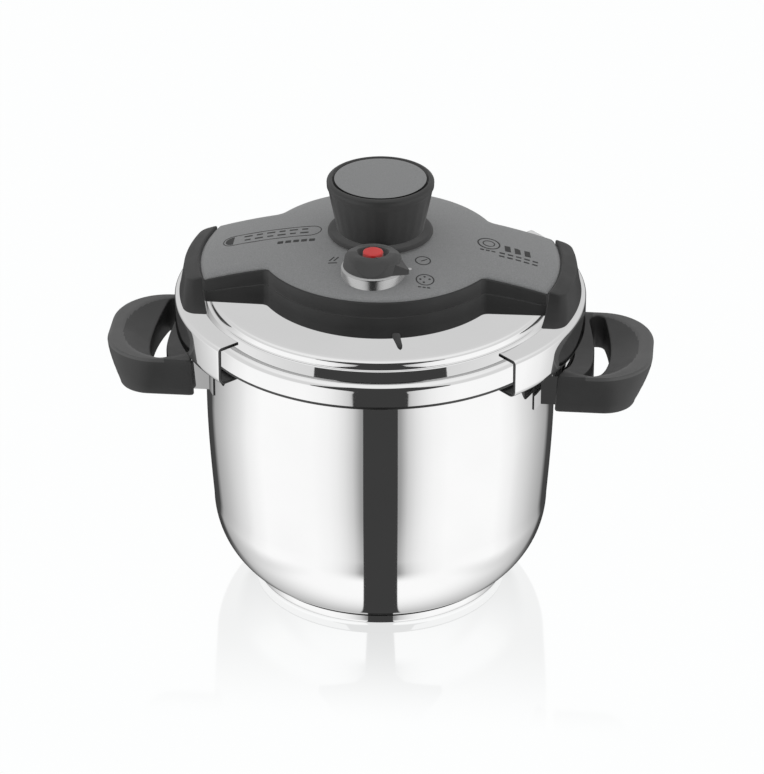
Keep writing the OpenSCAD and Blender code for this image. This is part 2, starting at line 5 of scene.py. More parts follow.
import bmesh
import bpy
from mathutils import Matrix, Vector

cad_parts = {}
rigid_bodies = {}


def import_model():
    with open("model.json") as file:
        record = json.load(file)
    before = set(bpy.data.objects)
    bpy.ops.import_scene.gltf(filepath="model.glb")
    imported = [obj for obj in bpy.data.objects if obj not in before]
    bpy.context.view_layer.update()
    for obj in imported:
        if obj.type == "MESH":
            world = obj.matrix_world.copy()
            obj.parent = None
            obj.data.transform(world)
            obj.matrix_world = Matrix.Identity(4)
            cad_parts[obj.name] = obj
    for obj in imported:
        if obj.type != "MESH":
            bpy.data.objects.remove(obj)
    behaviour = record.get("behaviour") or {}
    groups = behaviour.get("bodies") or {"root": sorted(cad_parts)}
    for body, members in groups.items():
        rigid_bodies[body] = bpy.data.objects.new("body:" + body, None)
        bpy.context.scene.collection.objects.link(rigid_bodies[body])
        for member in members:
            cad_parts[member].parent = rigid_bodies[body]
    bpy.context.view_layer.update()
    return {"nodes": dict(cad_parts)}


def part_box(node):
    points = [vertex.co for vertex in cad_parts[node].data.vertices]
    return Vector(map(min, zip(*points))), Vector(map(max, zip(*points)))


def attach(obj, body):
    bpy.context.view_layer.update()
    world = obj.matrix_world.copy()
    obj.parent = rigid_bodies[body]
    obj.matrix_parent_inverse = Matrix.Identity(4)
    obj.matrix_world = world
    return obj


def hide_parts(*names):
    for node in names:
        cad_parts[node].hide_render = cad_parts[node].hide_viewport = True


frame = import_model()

MM = 0.001
TAU = 2 * math.pi

# ---------- sizes, from the frame, in millimetres ----------


def lo(node, axis):
    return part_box(node)[0][axis] / MM


def hi(node, axis):
    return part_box(node)[1][axis] / MM


SHEET = 1.2
RIM_Z = hi("pot_shell", 2)
FLANGE_R = hi("pot_shell", 0)
POT_R = FLANGE_R - 5.4
BASE_R = hi("base_cap", 0)
BASE_H = hi("base_cap", 2)
FOOT_R = POT_R - 3.5
CORNER_R = 58
SKIRT_R = hi("lid_shell", 0)
SKIRT_Z = lo("lid_shell", 2)
LID_Z = hi("lid_shell", 2)
SHOULDER_Z = LID_Z - 12.5
JAW_R = hi("jaw_right", 0)
JAW_Z0 = lo("jaw_right", 2)
JAW_Z1 = hi("jaw_right", 2)
JAW_LIP_R = POT_R + 3.6
JAW_TOP_R = POT_R + 3.3
JAW_ANGLE = 45.5
DISC_R = hi("cover_base", 1)
ARM_END_R = POT_R + 2.4
DOME_R = 360
DOME_Z = LID_Z + 35.2
SEAM_R = 450
SEAM_Z = LID_Z + 20.1
KNOB_R = hi("knob_shell", 0)
KNOB_Z0 = lo("knob_shell", 2)
KNOB_Z1 = hi("knob_shell", 2)
DIAL_Y = (hi("valve_bezel", 1) + lo("valve_bezel", 1)) / 2
BEZEL_R = hi("valve_bezel", 0)
BEZEL_Z = hi("valve_bezel", 2)
DIAL_Z = hi("dial", 2)
HANDLE_X = hi("handle_right", 0)
HANDLE_Z0 = lo("handle_right", 2)
HANDLE_Z1 = hi("handle_right", 2)
HANDLE_Y = hi("handle_right", 1)


def dome(x, y, drop=0.0):
    """Height of the domed top over a point, less a drop."""
    return DOME_Z - DOME_R + math.sqrt(DOME_R**2 - x * x - y * y) - drop


def seam(x, y):
    """Height of the joint line between the two layers of the cover."""
    return SEAM_Z - SEAM_R + math.sqrt(SEAM_R**2 - x * x - y * y)


# ---------- mesh helpers ----------


def arc(cx, cy, r, a0, a1, n=8):
    """Points on an arc from angle a0 to a1, in degrees."""
    steps = [math.radians(a0 + (a1 - a0) * i / n) for i in range(n + 1)]
    return [(cx + r * math.cos(a), cy + r * math.sin(a)) for a in steps]


def fillet(corners, n=6):
    """A closed outline whose corners (x, y, radius) are rounded."""
    made = []
    count = len(corners)
    for i, (x, y, r) in enumerate(corners):
        here = Vector((x, y))
        before = Vector(corners[i - 1][:2]) - here
        after = Vector(corners[(i + 1) % count][:2]) - here
        if r <= 0:
            made.append((x, y))
            continue
        half = before.angle(after) / 2
        reach = min(r / math.tan(half), before.length * 0.49, after.length * 0.49)
        r = reach * math.tan(half)
        centre = here + (before.normalized() + after.normalized()).normalized() * (r / math.sin(half))
        p0 = here + before.normalized() * reach - centre
        p1 = here + after.normalized() * reach - centre
        turn = p0.angle_signed(p1)
        for k in range(n + 1):
            a = -turn * k / n
            made.append((
                centre.x + p0.x * math.cos(a) - p0.y * math.sin(a),
                centre.y + p0.x * math.sin(a) + p0.y * math.cos(a),
            ))
    return made


def finish_mesh(name, verts, faces, body, material, slot, sharp=32, replaces=()):
    """Makes one closed piece from millimetre points, and says what it rides on and stands for."""
    mesh = bpy.data.meshes.new(name)
    mesh.from_pydata([(x * MM, y * MM, z * MM) for x, y, z in verts], [], faces)
    bm = bmesh.new()
    bm.from_mesh(mesh)
    bmesh.ops.remove_doubles(bm, verts=bm.verts, dist=1e-7)
    bmesh.ops.dissolve_degenerate(bm, edges=bm.edges, dist=1e-8)
    bmesh.ops.recalc_face_normals(bm, faces=bm.faces)
    bm.to_mesh(mesh)
    bm.free()
    mesh.polygons.foreach_set("use_smooth", [True] * len(mesh.polygons))
    mesh.set_sharp_from_angle(angle=math.radians(sharp))
    piece = bpy.data.objects.new(name, mesh)
    bpy.context.scene.collection.objects.link(piece)
    mesh.materials.append(material)
    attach(piece, body)
    if replaces:
        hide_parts(*replaces)
    return piece


def shade(piece, choose, material=None):
    """Gives a second material to the faces whose middle is chosen (millimetres): by default the dark steel
    that paints shade on, otherwise the material given, which may paint shade or light.
    """
    piece.data.materials.append(material or PAINTED_SHADE_STEEL)
    for face in piece.data.polygons:
        if choose(*(value / MM for value in face.center)):
            face.material_index = 1


def faces_in(piece):
    """The sheet faces that look towards the axis, as a test of their middles."""
    inner = {tuple(round(v / MM, 3) for v in f.center) for f in piece.data.polygons
             if f.normal.x * f.center.x + f.normal.y * f.center.y < 0}
    return lambda x, y, z: (round(x, 3), round(y, 3), round(z, 3)) in inner


def loft(loops, wrap=False, caps=True):
    """Points and faces that join loops of equal length; wrap joins the last loop to the first."""
    n = len(loops[0])
    verts = [p for loop in loops for p in loop]
    faces = []
    pairs = len(loops) if wrap else len(loops) - 1
    for i in range(pairs):
        a = i * n
        b = ((i + 1) % len(loops)) * n
        for k in range(n):
            k2 = (k + 1) % n
            faces.append((a + k, a + k2, b + k2, b + k))
    if caps and not wrap:
        faces.append(tuple(range(n - 1, -1, -1)))
        faces.append(tuple((len(loops) - 1) * n + k for k in range(n)))
    return verts, faces


def revolve(profile, segments=192, centre=(0, 0), ripple=None):
    """A ring-shaped solid from a closed profile of (radius, z)."""
    loops = []
    for i in range(segments):
        a = TAU * i / segments
        loop = []
        for r, z in profile:
            reach = r + (ripple(a, r, z) if ripple else 0)
            loop.append((centre[0] + reach * math.cos(a), centre[1] + reach * math.sin(a), z))
        loops.append(loop)
    return loft(loops, wrap=True)


def revolve_solid(profile, segments=192, centre=(0, 0), ripple=None):
    """A solid from an open profile of (radius, z) that starts and ends on the axis."""
    inner = profile[1:-1]
    verts = []
    for r, z in inner:
        for i in range(segments):
            a = TAU * i / segments
            reach = r + (ripple(a, r, z) if ripple else 0)
            verts.append((centre[0] + reach * math.cos(a), centre[1] + reach * math.sin(a), z))
    faces = []
    for j in range(len(inner) - 1):
        for i in range(segments):
            i2 = (i + 1) % segments
            here, above = j * segments, (j + 1) * segments
            faces.append((here + i, here + i2, above + i2, above + i))
    for z, ring in ((profile[0][1], 0), (profile[-1][1], len(inner) - 1)):
        tip = len(verts)
        verts.append((centre[0], centre[1], z))
        for i in range(segments):
            faces.append((tip, ring * segments + i, ring * segments + (i + 1) % segments))
    return verts, faces


def sector(profile, half_angle, side, segments=72, end_round=0.6):
    """Part of a ring either side of the X axis, with slightly rounded ends."""
    cx = sum(p[0] for p in profile) / len(profile)
    cy = sum(p[1] for p in profile) / len(profile)
    loops = []
    r_mid = cx
    stops = []
    for k in range(4):
        a = math.radians(90 * k / 3)
        stops.append((math.degrees(end_round * (1 - math.sin(a)) / r_mid), end_round * (1 - math.cos(a))))
    marks = [(-half_angle + s, i) for s, i in reversed(stops)]
    marks += [(-half_angle + 2 * half_angle * k / segments, 0) for k in range(1, segments)]
    marks += [(half_angle - s, i) for s, i in stops]
    marks.sort(key=lambda m: m[0])
    for angle, inset in marks:
        a = math.radians(angle)
        shape = inset_outline(profile, inset)
        loops.append([(side * r * math.cos(a), r * math.sin(a), z) for r, z in shape])
    return loft(loops)


def inset_outline(points, inset):
    """Moves every side of a closed outline inwards by the inset."""
    if inset == 0:
        return list(points)
    area = sum(
        points[i - 1][0] * points[i][1] - points[i][0] * points[i - 1][1] for i in range(len(points))
    )
    sign = 1 if area > 0 else -1
    made = []
    count = len(points)
    for i, p in enumerate(points):
        here = Vector(p)
        e0 = (here - Vector(points[i - 1]))
        e1 = (Vector(points[(i + 1) % count]) - here)
        e0 = e0.normalized() if e0.length > 1e-9 else e1.normalized()
        e1 = e1.normalized() if e1.length > 1e-9 else e0
        n0 = Vector((-e0.y, e0.x)) * sign
        n1 = Vector((-e1.y, e1.x)) * sign
        n = (n0 + n1)
        n = n / max(n.length_squared, 0.5) * 2 if n.length > 1e-9 else n0
        made.append((here.x + n.x * inset * 0.5 * 1.0, here.y + n.y * inset * 0.5 * 1.0))
    return made


# ---------- procedural materials ----------


def new_material(name, colour, metallic=0.0, roughness=0.4, specular=0.5, coat=0.0):
    """A principled material with its constants set on the shader's own sockets."""
    material = bpy.data.materials.new(name)
    material.use_nodes = True
    shader = material.node_tree.nodes["Principled BSDF"]
    shader.inputs["Base Color"].default_value = (*colour, 1)
    shader.inputs["Metallic"].default_value = metallic
    shader.inputs["Roughness"].default_value = roughness
    shader.inputs["Specular IOR Level"].default_value = specular
    shader.inputs["Coat Weight"].default_value = coat
    return material, material.node_tree, shader


def noise(tree, scale, detail=3.0, stretch=(1, 1, 1)):
    """Noise over the object's own coordinates, stretched along an axis if asked."""
    coords = tree.nodes.new("ShaderNodeTexCoord")
    mapping = tree.nodes.new("ShaderNodeMapping")
    mapping.inputs["Scale"].default_value = stretch
    tree.links.new(coords.outputs["Object"], mapping.inputs["Vector"])
    texture = tree.nodes.new("ShaderNodeTexNoise")
    texture.inputs["Scale"].default_value = scale
    texture.inputs["Detail"].default_value = detail
    tree.links.new(mapping.outputs["Vector"], texture.inputs["Vector"])
    return texture.outputs["Fac"]


def spread(tree, value, low, high, source=(0.3, 0.7)):
    """Maps a noise value to a range."""
    node = tree.nodes.new("ShaderNodeMapRange")
    node.inputs["From Min"].default_value = source[0]
    node.inputs["From Max"].default_value = source[1]
    node.inputs["To Min"].default_value = low
    node.inputs["To Max"].default_value = high
    tree.links.new(value, node.inputs["Value"])
    return node.outputs["Result"]


def tint(tree, shader, value, dark, light):
    """Colours the shader between two colours by a noise value."""
    ramp = tree.nodes.new("ShaderNodeValToRGB")
    ramp.color_ramp.elements[0].position = 0.3
    ramp.color_ramp.elements[1].position = 0.7
    ramp.color_ramp.elements[0].color = (*dark, 1)
    ramp.color_ramp.elements[1].color = (*light, 1)
    tree.links.new(value, ramp.inputs["Fac"])
    tree.links.new(ramp.outputs["Color"], shader.inputs["Base Color"])


def bump(tree, shader, value, strength, distance):
    node = tree.nodes.new("ShaderNodeBump")
    node.inputs["Strength"].default_value = strength
    node.inputs["Distance"].default_value = distance
    tree.links.new(value, node.inputs["Height"])
    tree.links.new(node.outputs["Normal"], shader.inputs["Normal"])


def steel(name, tone, roughness, wave, grain=(1, 1, 1)):
    """Steel whose polish varies a little from place to place."""
    material, tree, shader = new_material(name, (tone, tone, tone), 1.0, roughness)
    cloud = noise(tree, 22, 2, grain)
    tree.links.new(spread(tree, cloud, roughness * 0.8, roughness * 1.25), shader.inputs["Roughness"])
    tint(tree, shader, cloud, (tone - 0.012,) * 3, (tone + 0.008,) * 3)
    bump(tree, shader, noise(tree, 9, 1), wave, 0.0004)
    return material


def plastic(name, tone, roughness, grain, strength, specular=0.5, cool=0.0):
    """Moulded plastic with a fine texture and slightly uneven colour and gloss."""
    light = (tone * 1.1, tone * (1.1 + cool), tone * (1.1 + 2 * cool))
    dark = (tone * 0.9, tone * (0.9 + cool), tone * (0.9 + 2 * cool))
    material, tree, shader = new_material(name, (tone, tone, tone), 0.0, roughness, specular)
    tint(tree, shader, noise(tree, 35, 4), dark, light)
    tree.links.new(
        spread(tree, noise(tree, 60, 3), roughness * 0.88, roughness * 1.12), shader.inputs["Roughness"]
    )
    bump(tree, shader, noise(tree, grain, 2), strength, 0.0002)
    return material


def speckled(name, dark, light, roughness):
    """Satin lacquer with a fine metallic speckle."""
    material, tree, shader = new_material(name, light, 0.0, roughness, 0.5)
    tint(tree, shader, noise(tree, 1500, 2), dark, light)
    bump(tree, shader, noise(tree, 2200, 2), 0.12, 0.0001)
    return material


CHROME = steel("polished_steel", 0.93, 0.035, 0.03)
POT_STEEL = steel("pot_steel", 0.95, 0.03, 0.02)
# polished steel darkened to mid grey: the grey paints on the ring's reflection of the grey panel
RING_PAINTED_REFLECTION_STEEL = steel("ring_steel_painted_reflection", 0.5, 0.2, 0.1)
# dark steel that paints shade onto edges and insides that lie in shade
PAINTED_SHADE_STEEL = steel("painted_shade_steel", 0.09, 0.35, 0.1)
# near-black that paints the shade of the groove round the knob's grey disc
GROOVE_PAINTED_SHADE = plastic("groove_painted_shade", 0.006, 0.6, 900, 0.1, 0.1)
# lighter copy of the bakelite for the palm rim: its doubled tone paints on the light the flat rim reflects;
# its lower roughness and higher specular are real gloss
RIM_PAINTED_LIGHT = plastic("rim_painted_light", 0.062, 0.36, 900, 0.18, 0.5)
MACHINED = steel("machined_steel", 0.62, 0.28, 0.15, (1, 1, 6))
ALUMINIUM = steel("aluminium", 0.72, 0.38, 0.2)
BAKELITE = plastic("black_bakelite", 0.032, 0.42, 900, 0.18, 0.42)
COVER_BLACK = plastic("cover_black", 0.026, 0.45, 1100, 0.14, 0.38)
KNOB_BLACK = plastic("knob_black", 0.028, 0.42, 900, 0.12, 0.42)
DIAL_BLACK = plastic("dial_black", 0.045, 0.42, 1000, 0.12, 0.42)
PANEL_GREY = speckled("satin_grey", (0.15, 0.153, 0.155), (0.21, 0.213, 0.215), 0.34)
CAP_GREY = speckled("knob_cap_grey", (0.16, 0.163, 0.165), (0.2, 0.203, 0.205), 0.42)
SILICONE = plastic("grey_silicone", 0.35, 0.55, 500, 0.1, 0.3)
RED = plastic("signal_red", 0.5, 0.35, 700, 0.1)
PRINT = plastic("dark_print", 0.03, 0.6, 1400, 0.1, 0.3)
PRINT_LIGHT = plastic("light_print", 0.55, 0.5, 1400, 0.1, 0.3)


def paint_red(material):
    """Turns the neutral plastic into signal red."""
    for node in material.node_tree.nodes:
        if node.bl_idname == "ShaderNodeValToRGB":
            node.color_ramp.elements[0].color = (0.5, 0.012, 0.012, 1)
            node.color_ramp.elements[1].color = (0.66, 0.022, 0.02, 1)


paint_red(RED)

NODE_FINISH = {
    "base_core": ALUMINIUM,
    "lid_gasket": SILICONE,
    "indicator_seal": SILICONE,
    "safety_valve_plug": SILICONE,
}


def dress_cad(node, cad):
    """Gives a carried-over CAD solid its procedural finish."""
    finish = NODE_FINISH.get(node, MACHINED)
    for i in range(len(cad.data.materials)):
        cad.data.materials[i] = finish
    if not cad.data.materials:
        cad.data.materials.append(finish)


for node_name, cad_object in frame["nodes"].items():
    dress_cad(node_name, cad_object)

# ---------- pot ----------


def pot_side():
    """Outer and inner line of the pot wall, from the axis out and back."""
    corner_x = FOOT_R - CORNER_R
    corner_z = BASE_H + math.sqrt(CORNER_R**2 - (BASE_R - corner_x)**2)
    start = math.degrees(math.asin((corner_z - BASE_H) / CORNER_R))
    inner_r = CORNER_R - SHEET
    inner_start = math.degrees(math.asin((corner_z - BASE_H - SHEET) / inner_r))
    taper_z = RIM_Z * 130 / 178
    roll_z = RIM_Z - SHEET - 3
    wall = [(FOOT_R + (POT_R - FOOT_R) * math.sin(math.pi / 2 * k / 12),
             corner_z + (taper_z - corner_z) * k / 12) for k in range(1, 13)]
    outer = [(0, BASE_H), (BASE_R * 0.5, BASE_H)]
    outer += arc(corner_x, corner_z, CORNER_R, -start, 0, 28)
    outer += wall
    outer += arc(POT_R + 3, roll_z, 3, 180, 90, 8)
    edge = SHEET / 2
    outer += arc(FLANGE_R - edge, RIM_Z - edge, edge, -90, 90, 6)
    inner = arc(POT_R + 3, roll_z, 3 + SHEET, 90, 180, 8)
    inner += [(r - SHEET, z) for r, z in reversed(wall)]
    inner += arc(corner_x, corner_z, inner_r, 0, -inner_start, 28)
    inner += [(BASE_R * 0.5, BASE_H + SHEET), (0, BASE_H + SHEET)]
    return outer + inner


finish_mesh("pot_wall", *revolve_solid(pot_side(), 256), "pot", POT_STEEL, "polished_steel",
            replaces=("pot_shell",))

BASE_EDGE = 2.2
base_side = [(0, 0), (BASE_R * 0.5, 0)] + arc(BASE_R - BASE_EDGE, BASE_EDGE, BASE_EDGE, -90, 0, 8)
base_side += [(BASE_R, BASE_H - 0.9)] + arc(BASE_R - 0.7, BASE_H - 0.7, 0.7, 0, 90, 4)
base_side += [(BASE_R - 1, BASE_H), (BASE_R - 1, 1), (0, 1)]
base_cap = finish_mesh("base_cap_steel", *revolve_solid(base_side, 224), "pot", POT_STEEL,
                       "polished_steel", replaces=("base_cap",))
# paints shade on the cap's top edge: a dark line where the pot meets the base cap
shade(base_cap, lambda x, y, z: z > BASE_H - 0.75)

# ---------- lid ----------


def cut(piece, tools, solver="EXACT"):
    """Cuts the tools out of a piece and deletes them."""
    for tool in tools:
        modifier = piece.modifiers.new("cut", "BOOLEAN")
        modifier.operation = "DIFFERENCE"
        modifier.solver = solver
        modifier.object = tool
    bpy.context.view_layer.update()
    graph = bpy.context.evaluated_depsgraph_get()
    made = bpy.data.meshes.new_from_object(piece.evaluated_get(graph))
    piece.modifiers.clear()
    piece.data = made
    made.set_sharp_from_angle(angle=math.radians(32))
    for tool in tools:
        bpy.data.objects.remove(tool)


def rod(x, y, r, z0, z1, segments=96):
    """A round cutting tool."""
    loops = [[(x + r * math.cos(TAU * i / segments), y + r * math.sin(TAU * i / segments), z)
              for i in range(segments)] for z in (z0, z1)]
    return tool_mesh(*loft(loops))


def block(x0, x1, y0, y1, z0, z1):
    """A box-shaped cutting tool."""
    base = [(x0, y0), (x1, y0), (x1, y1), (x0, y1)]
    return tool_mesh(*loft([[(x, y, z) for x, y in base] for z in (z0, z1)]))


def tool_mesh(verts, faces):
    mesh = bpy.data.meshes.new("tool")
    mesh.from_pydata([(x * MM, y * MM, z * MM) for x, y, z in verts], [], faces)
    bm = bmesh.new()
    bm.from_mesh(mesh)
    bmesh.ops.recalc_face_normals(bm, faces=bm.faces)
    bm.to_mesh(mesh)
    bm.free()
    tool = bpy.data.objects.new("tool", mesh)
    bpy.context.scene.collection.objects.link(tool)
    return tool


STEP_R = POT_R - 2.6
SCREWS = [(sx * 44, sy * 44) for sx in (-1, 1) for sy in (-1, 1)]


def lid_side():
    """Outer and inner line of the lid sheet."""
    draft = 1.0
    outer = [(SKIRT_R, SKIRT_Z + 0.4)]
    skirt_h = SHOULDER_Z - 4.4 - SKIRT_Z
    outer += [(SKIRT_R - draft * k / 8, SKIRT_Z + 0.4 + skirt_h * k / 8) for k in range(1, 9)]
    outer += arc(SKIRT_R - draft - 4, SHOULDER_Z - 4, 4, 6, 78, 10)
    outer += [(POT_R + 3.2, SHOULDER_Z - 1.2), (POT_R + 2.2, SHOULDER_Z - 2.0)]
    outer += arc(POT_R + 1.7, SHOULDER_Z - 0.9, 1.1, 250, 193, 5)
    outer += arc(POT_R - 1.9, LID_Z - 6.9, 1.0, 13, 70, 5)
    outer += arc(STEP_R + 0.9, LID_Z - 5.1, 0.9, 250, 190, 4)
    outer += arc(STEP_R - 2.2, LID_Z - 2.6, 2.2, 0, 84, 10)
    flat_w = STEP_R - 2.2 - DISC_R
    outer += [(STEP_R - 2.2 - flat_w * k / 10, LID_Z - 0.4 + 0.4 * k / 10) for k in range(1, 11)]
    outer += [(DISC_R * 0.5, LID_Z), (0, LID_Z)]
    inner = [(0, LID_Z - SHEET), (DISC_R, LID_Z - SHEET)]
    inner += arc(STEP_R - 2.2, LID_Z - 2.9, 2.2 - SHEET, 85, 0, 6)
    inner += [(STEP_R - SHEET, LID_Z - 4.9), (POT_R - 2 - SHEET, LID_Z - 6.3)]
    inner += [(POT_R - 1.1 - SHEET, LID_Z - 7)]
    inner += [(POT_R - 0.2 - SHEET, SHOULDER_Z - 1.6), (POT_R + 0.2, SHOULDER_Z - 3.0)]
    inner += arc(SKIRT_R - draft - 4, SHOULDER_Z - 4, 4 - SHEET, 80, 4, 8)
    inner += [(SKIRT_R - SHEET, SKIRT_Z + 0.4), (SKIRT_R - SHEET * 0.75, SKIRT_Z)]
    inner += [(SKIRT_R - SHEET * 0.25, SKIRT_Z)]
    return outer, inner


lid_outer, lid_inner = lid_side()
# the profile starts on the axis, so it runs from the top of the middle out, round the skirt and back
lid_line = list(reversed(lid_outer)) + list(reversed(lid_inner))
lid = finish_mesh("lid_steel", *revolve_solid(lid_line, 256), "lid", CHROME, "polished_steel",
                  replaces=("lid_shell",))
tools = [rod(0, DIAL_Y, 6.5, LID_Z - 8, LID_Z + 6), rod(0, -DIAL_Y, 5, LID_Z - 8, LID_Z + 6)]
tools += [rod(x, y, 2, LID_Z - 8, LID_Z + 6, 32) for x, y in SCREWS]
cut(lid, tools)
# paints shade on the skirt's bottom edge and inside: the dark gap line under the lid and the shadowed inner
# face
inner_face = faces_in(lid)
shade(lid, lambda x, y, z: z < SKIRT_Z + 1.2 or (z < SHOULDER_Z - 5 and inner_face(x, y, z)))

# ---------- cover ----------

ARM_HALF = 39
ARM_TIP = 36.4
ARM_SLOPE = (ARM_HALF - ARM_TIP) / ARM_END_R


def cover_loop(inset=0.0, fillet_r=5.5, corner_r=2.0, half=ARM_HALF, spread_out=0.0):
    """Outline of the cover: a disc with an arm to each side, its corners rounded."""
    reach = ARM_END_R - inset
    disc = DISC_R - inset + spread_out
    side = half - inset + spread_out
    tilt = math.sqrt(1 + ARM_SLOPE**2)
    f = max(fillet_r + inset, 0.5)
    e = max(corner_r - inset, 0.4)
    cx = disc
    for _ in range(30):
        cy = side - ARM_SLOPE * cx + f * tilt
        cx = math.sqrt((disc + f)**2 - cy * cy)
    ex = reach
    for _ in range(30):
        ey = side - ARM_SLOPE * ex - e * tilt
        ex = math.sqrt((reach - e)**2 - ey * ey)
    a_disc = math.atan2(cy, cx)
    slope_a = math.atan(ARM_SLOPE)
    quarter = []
    for k in range(26):
        a = math.pi / 2 + (a_disc - math.pi / 2) * k / 25
        quarter.append((disc * math.cos(a), disc * math.sin(a)))
    start = a_disc + math.pi
    stop = 1.5 * math.pi - slope_a
    for k in range(1, 10):
        a = start + (stop - start) * k / 9
        quarter.append((cx + f * math.cos(a), cy + f * math.sin(a)))
    x0, y0 = quarter[-1]
    first = math.pi / 2 - slope_a
    x1, y1 = ex + e * math.cos(first), ey + e * math.sin(first)
    quarter += [(x0 + (x1 - x0) * k / 12, y0 + (y1 - y0) * k / 12) for k in range(1, 12)]
    last = math.atan2(ey, ex)
    for k in range(7):
        a = first + (last - first) * k / 6
        quarter.append((ex + e * math.cos(a), ey + e * math.sin(a)))
    for k in range(1, 16):
        a = last * (1 - k / 15)
        quarter.append((reach * math.cos(a), reach * math.sin(a)))
    right = quarter + [(x, -y) for x, y in reversed(quarter[:-1])]
    left = [(-x, y) for x, y in reversed(right[1:-1])]
    return right + left


def level(outline, height):
    return [(x, y, height(x, y)) for x, y in outline]


def shrunk(outline, factor, height):
    return [(x * factor, y * factor, height(x * factor, y * factor)) for x, y in outline]


SHRINK = (0.93, 0.8, 0.65, 0.5, 0.35, 0.22, 0.1, 0.04)
WALL = 3
PANEL_T = 3

panel_loops = [shrunk(cover_loop(1.0), s, lambda x, y: dome(x, y, PANEL_T)) for s in reversed(SHRINK)]
panel_loops += [level(cover_loop(0.9), lambda x, y: dome(x, y, PANEL_T))]
panel_loops += [level(cover_loop(0.5), lambda x, y: dome(x, y, PANEL_T - 0.3))]
panel_loops += [level(cover_loop(0.4), lambda x, y: dome(x, y, 2.2))]
panel_loops += [level(cover_loop(0.55), lambda x, y: dome(x, y, 1.75))]
panel_loops += [level(cover_loop(1.1), lambda x, y: dome(x, y, 1.2))]
panel_loops += [level(cover_loop(2.1), lambda x, y: dome(x, y, 0.45))]
panel_loops += [level(cover_loop(2.7), lambda x, y: dome(x, y, 0.12))]
panel_loops += [level(cover_loop(3.4), lambda x, y: dome(x, y))]
panel_loops += [shrunk(cover_loop(4.2), s, lambda x, y: dome(x, y)) for s in SHRINK]
panel = finish_mesh("cover_panel", *loft(panel_loops), "lid", PANEL_GREY, "satin_grey_panel",
                    sharp=40, replaces=("top_panel",))
cut(panel, [rod(0, DIAL_Y, BEZEL_R - 0.4, 220, 250), rod(0, 0, 8.5, 225, 245)])


def roof(drop):
    return lambda x, y: dome(x, y, drop)


def above_seam(gap):
    return lambda x, y: seam(x, y) + gap


upper_loops = [shrunk(cover_loop(WALL), s, roof(PANEL_T + WALL)) for s in reversed(SHRINK)]
upper_loops += [level(cover_loop(WALL), roof(PANEL_T + WALL))]
upper_loops += [level(cover_loop(WALL), above_seam(0.2))]
upper_loops += [level(cover_loop(0.8), above_seam(0.2)), level(cover_loop(0.25), above_seam(0.4))]
upper_loops += [level(cover_loop(0.0), above_seam(1.0))]
upper_loops += [level(cover_loop(0.0), roof(PANEL_T + 1.4)), level(cover_loop(0.12), roof(PANEL_T + 0.6))]
upper_loops += [level(cover_loop(0.7), roof(PANEL_T + 0.05))]
upper_loops += [shrunk(cover_loop(1.0), s, roof(PANEL_T + 0.05)) for s in SHRINK]
upper = finish_mesh("cover_upper_shell", *loft(upper_loops), "lid", COVER_BLACK, "black_bakelite",
                    sharp=40, replaces=("cover_upper",))
END_CUT = ARM_TIP - WALL
cut(upper, [
    rod(0, DIAL_Y, BEZEL_R - 0.4, 210, 250), rod(0, 0, 8.5, 215, 245),
    block(102, 125, -END_CUT, END_CUT, 195, 214.5), block(-125, -102, -END_CUT, END_CUT, 195, 214.5),
])

FLARE = 1.6
base_loops = [level(cover_loop(0.5, spread_out=FLARE), lambda x, y: LID_Z + 0.02)]
base_loops += [level(cover_loop(0.1, spread_out=FLARE), lambda x, y: LID_Z + 0.6)]
base_loops += [level(cover_loop(0, spread_out=FLARE * 0.45), lambda x, y: LID_Z + 3.2)]
base_loops += [level(cover_loop(0, spread_out=FLARE * 0.1), lambda x, y: LID_Z + 6.5)]
base_loops += [level(cover_loop(0.0), above_seam(-0.9)), level(cover_loop(0.25), above_seam(-0.25))]
base_loops += [level(cover_loop(0.8), above_seam(0.0)), level(cover_loop(WALL), above_seam(0.0))]
base_loops += [level(cover_loop(WALL), lambda x, y: LID_Z + 0.02)]
base = finish_mesh("cover_lower_shell", *loft(base_loops, wrap=True), "lid", COVER_BLACK, "black_bakelite",
                   sharp=40, replaces=("cover_base",))
end_gaps = [block(102, 125, -END_CUT, END_CUT, 195, 230), block(-125, -102, -END_CUT, END_CUT, 195, 230)]
cut(base, end_gaps, "FAST")
for spot, (x, y) in enumerate(SCREWS):
    boss = [(1.9, LID_Z + 0.05), (5, LID_Z + 0.05), (5, LID_Z + 11.6), (4.6, LID_Z + 12), (1.9, LID_Z + 12)]
    finish_mesh(f"screw_boss_{spot}", *revolve(boss, 48, (x, y)), "lid", COVER_BLACK, "black_bakelite")

# ---------- collar, knob ----------

COLLAR_R = 33
COLLAR_TOP = KNOB_Z0 - 0.4


def collar_side():
    under = [(r, dome(r, 0) + 0.03) for r in (10, 18, 25, 30)]
    wall_z = COLLAR_TOP - 1.9
    side = [(31.2, dome(31.2, 0) + 0.03), (32.3, wall_z - 1.0)]
    side += arc(COLLAR_R - 1.9, wall_z, 1.9, -10, 90, 8)
    return under + side + [(28, COLLAR_TOP - 0.1), (10, COLLAR_TOP - 0.1)]


collar = finish_mesh("knob_ring", *revolve(collar_side(), 160), "lid", KNOB_BLACK, "black_bakelite",
                     replaces=("knob_collar",))
cut(collar, [rod(0, DIAL_Y, BEZEL_R + 0.2, 230, 250)])

KNOB_FOOT = 27.5
KNOB_H = KNOB_Z1 - KNOB_Z0
RIM_W = 3.4


def knob_ripple(angle, r, z):
    """Shallow flutes round the side of the knob."""
    inside = r < KNOB_FOOT - 2 or z > KNOB_Z1 - 4.5
    ends = min(1, max(0, (z - KNOB_Z0 - 2) / 4)) * min(1, max(0, (KNOB_Z1 - 6 - z) / 5))
    return 0 if inside else 0.07 * ends * math.cos(28 * angle)


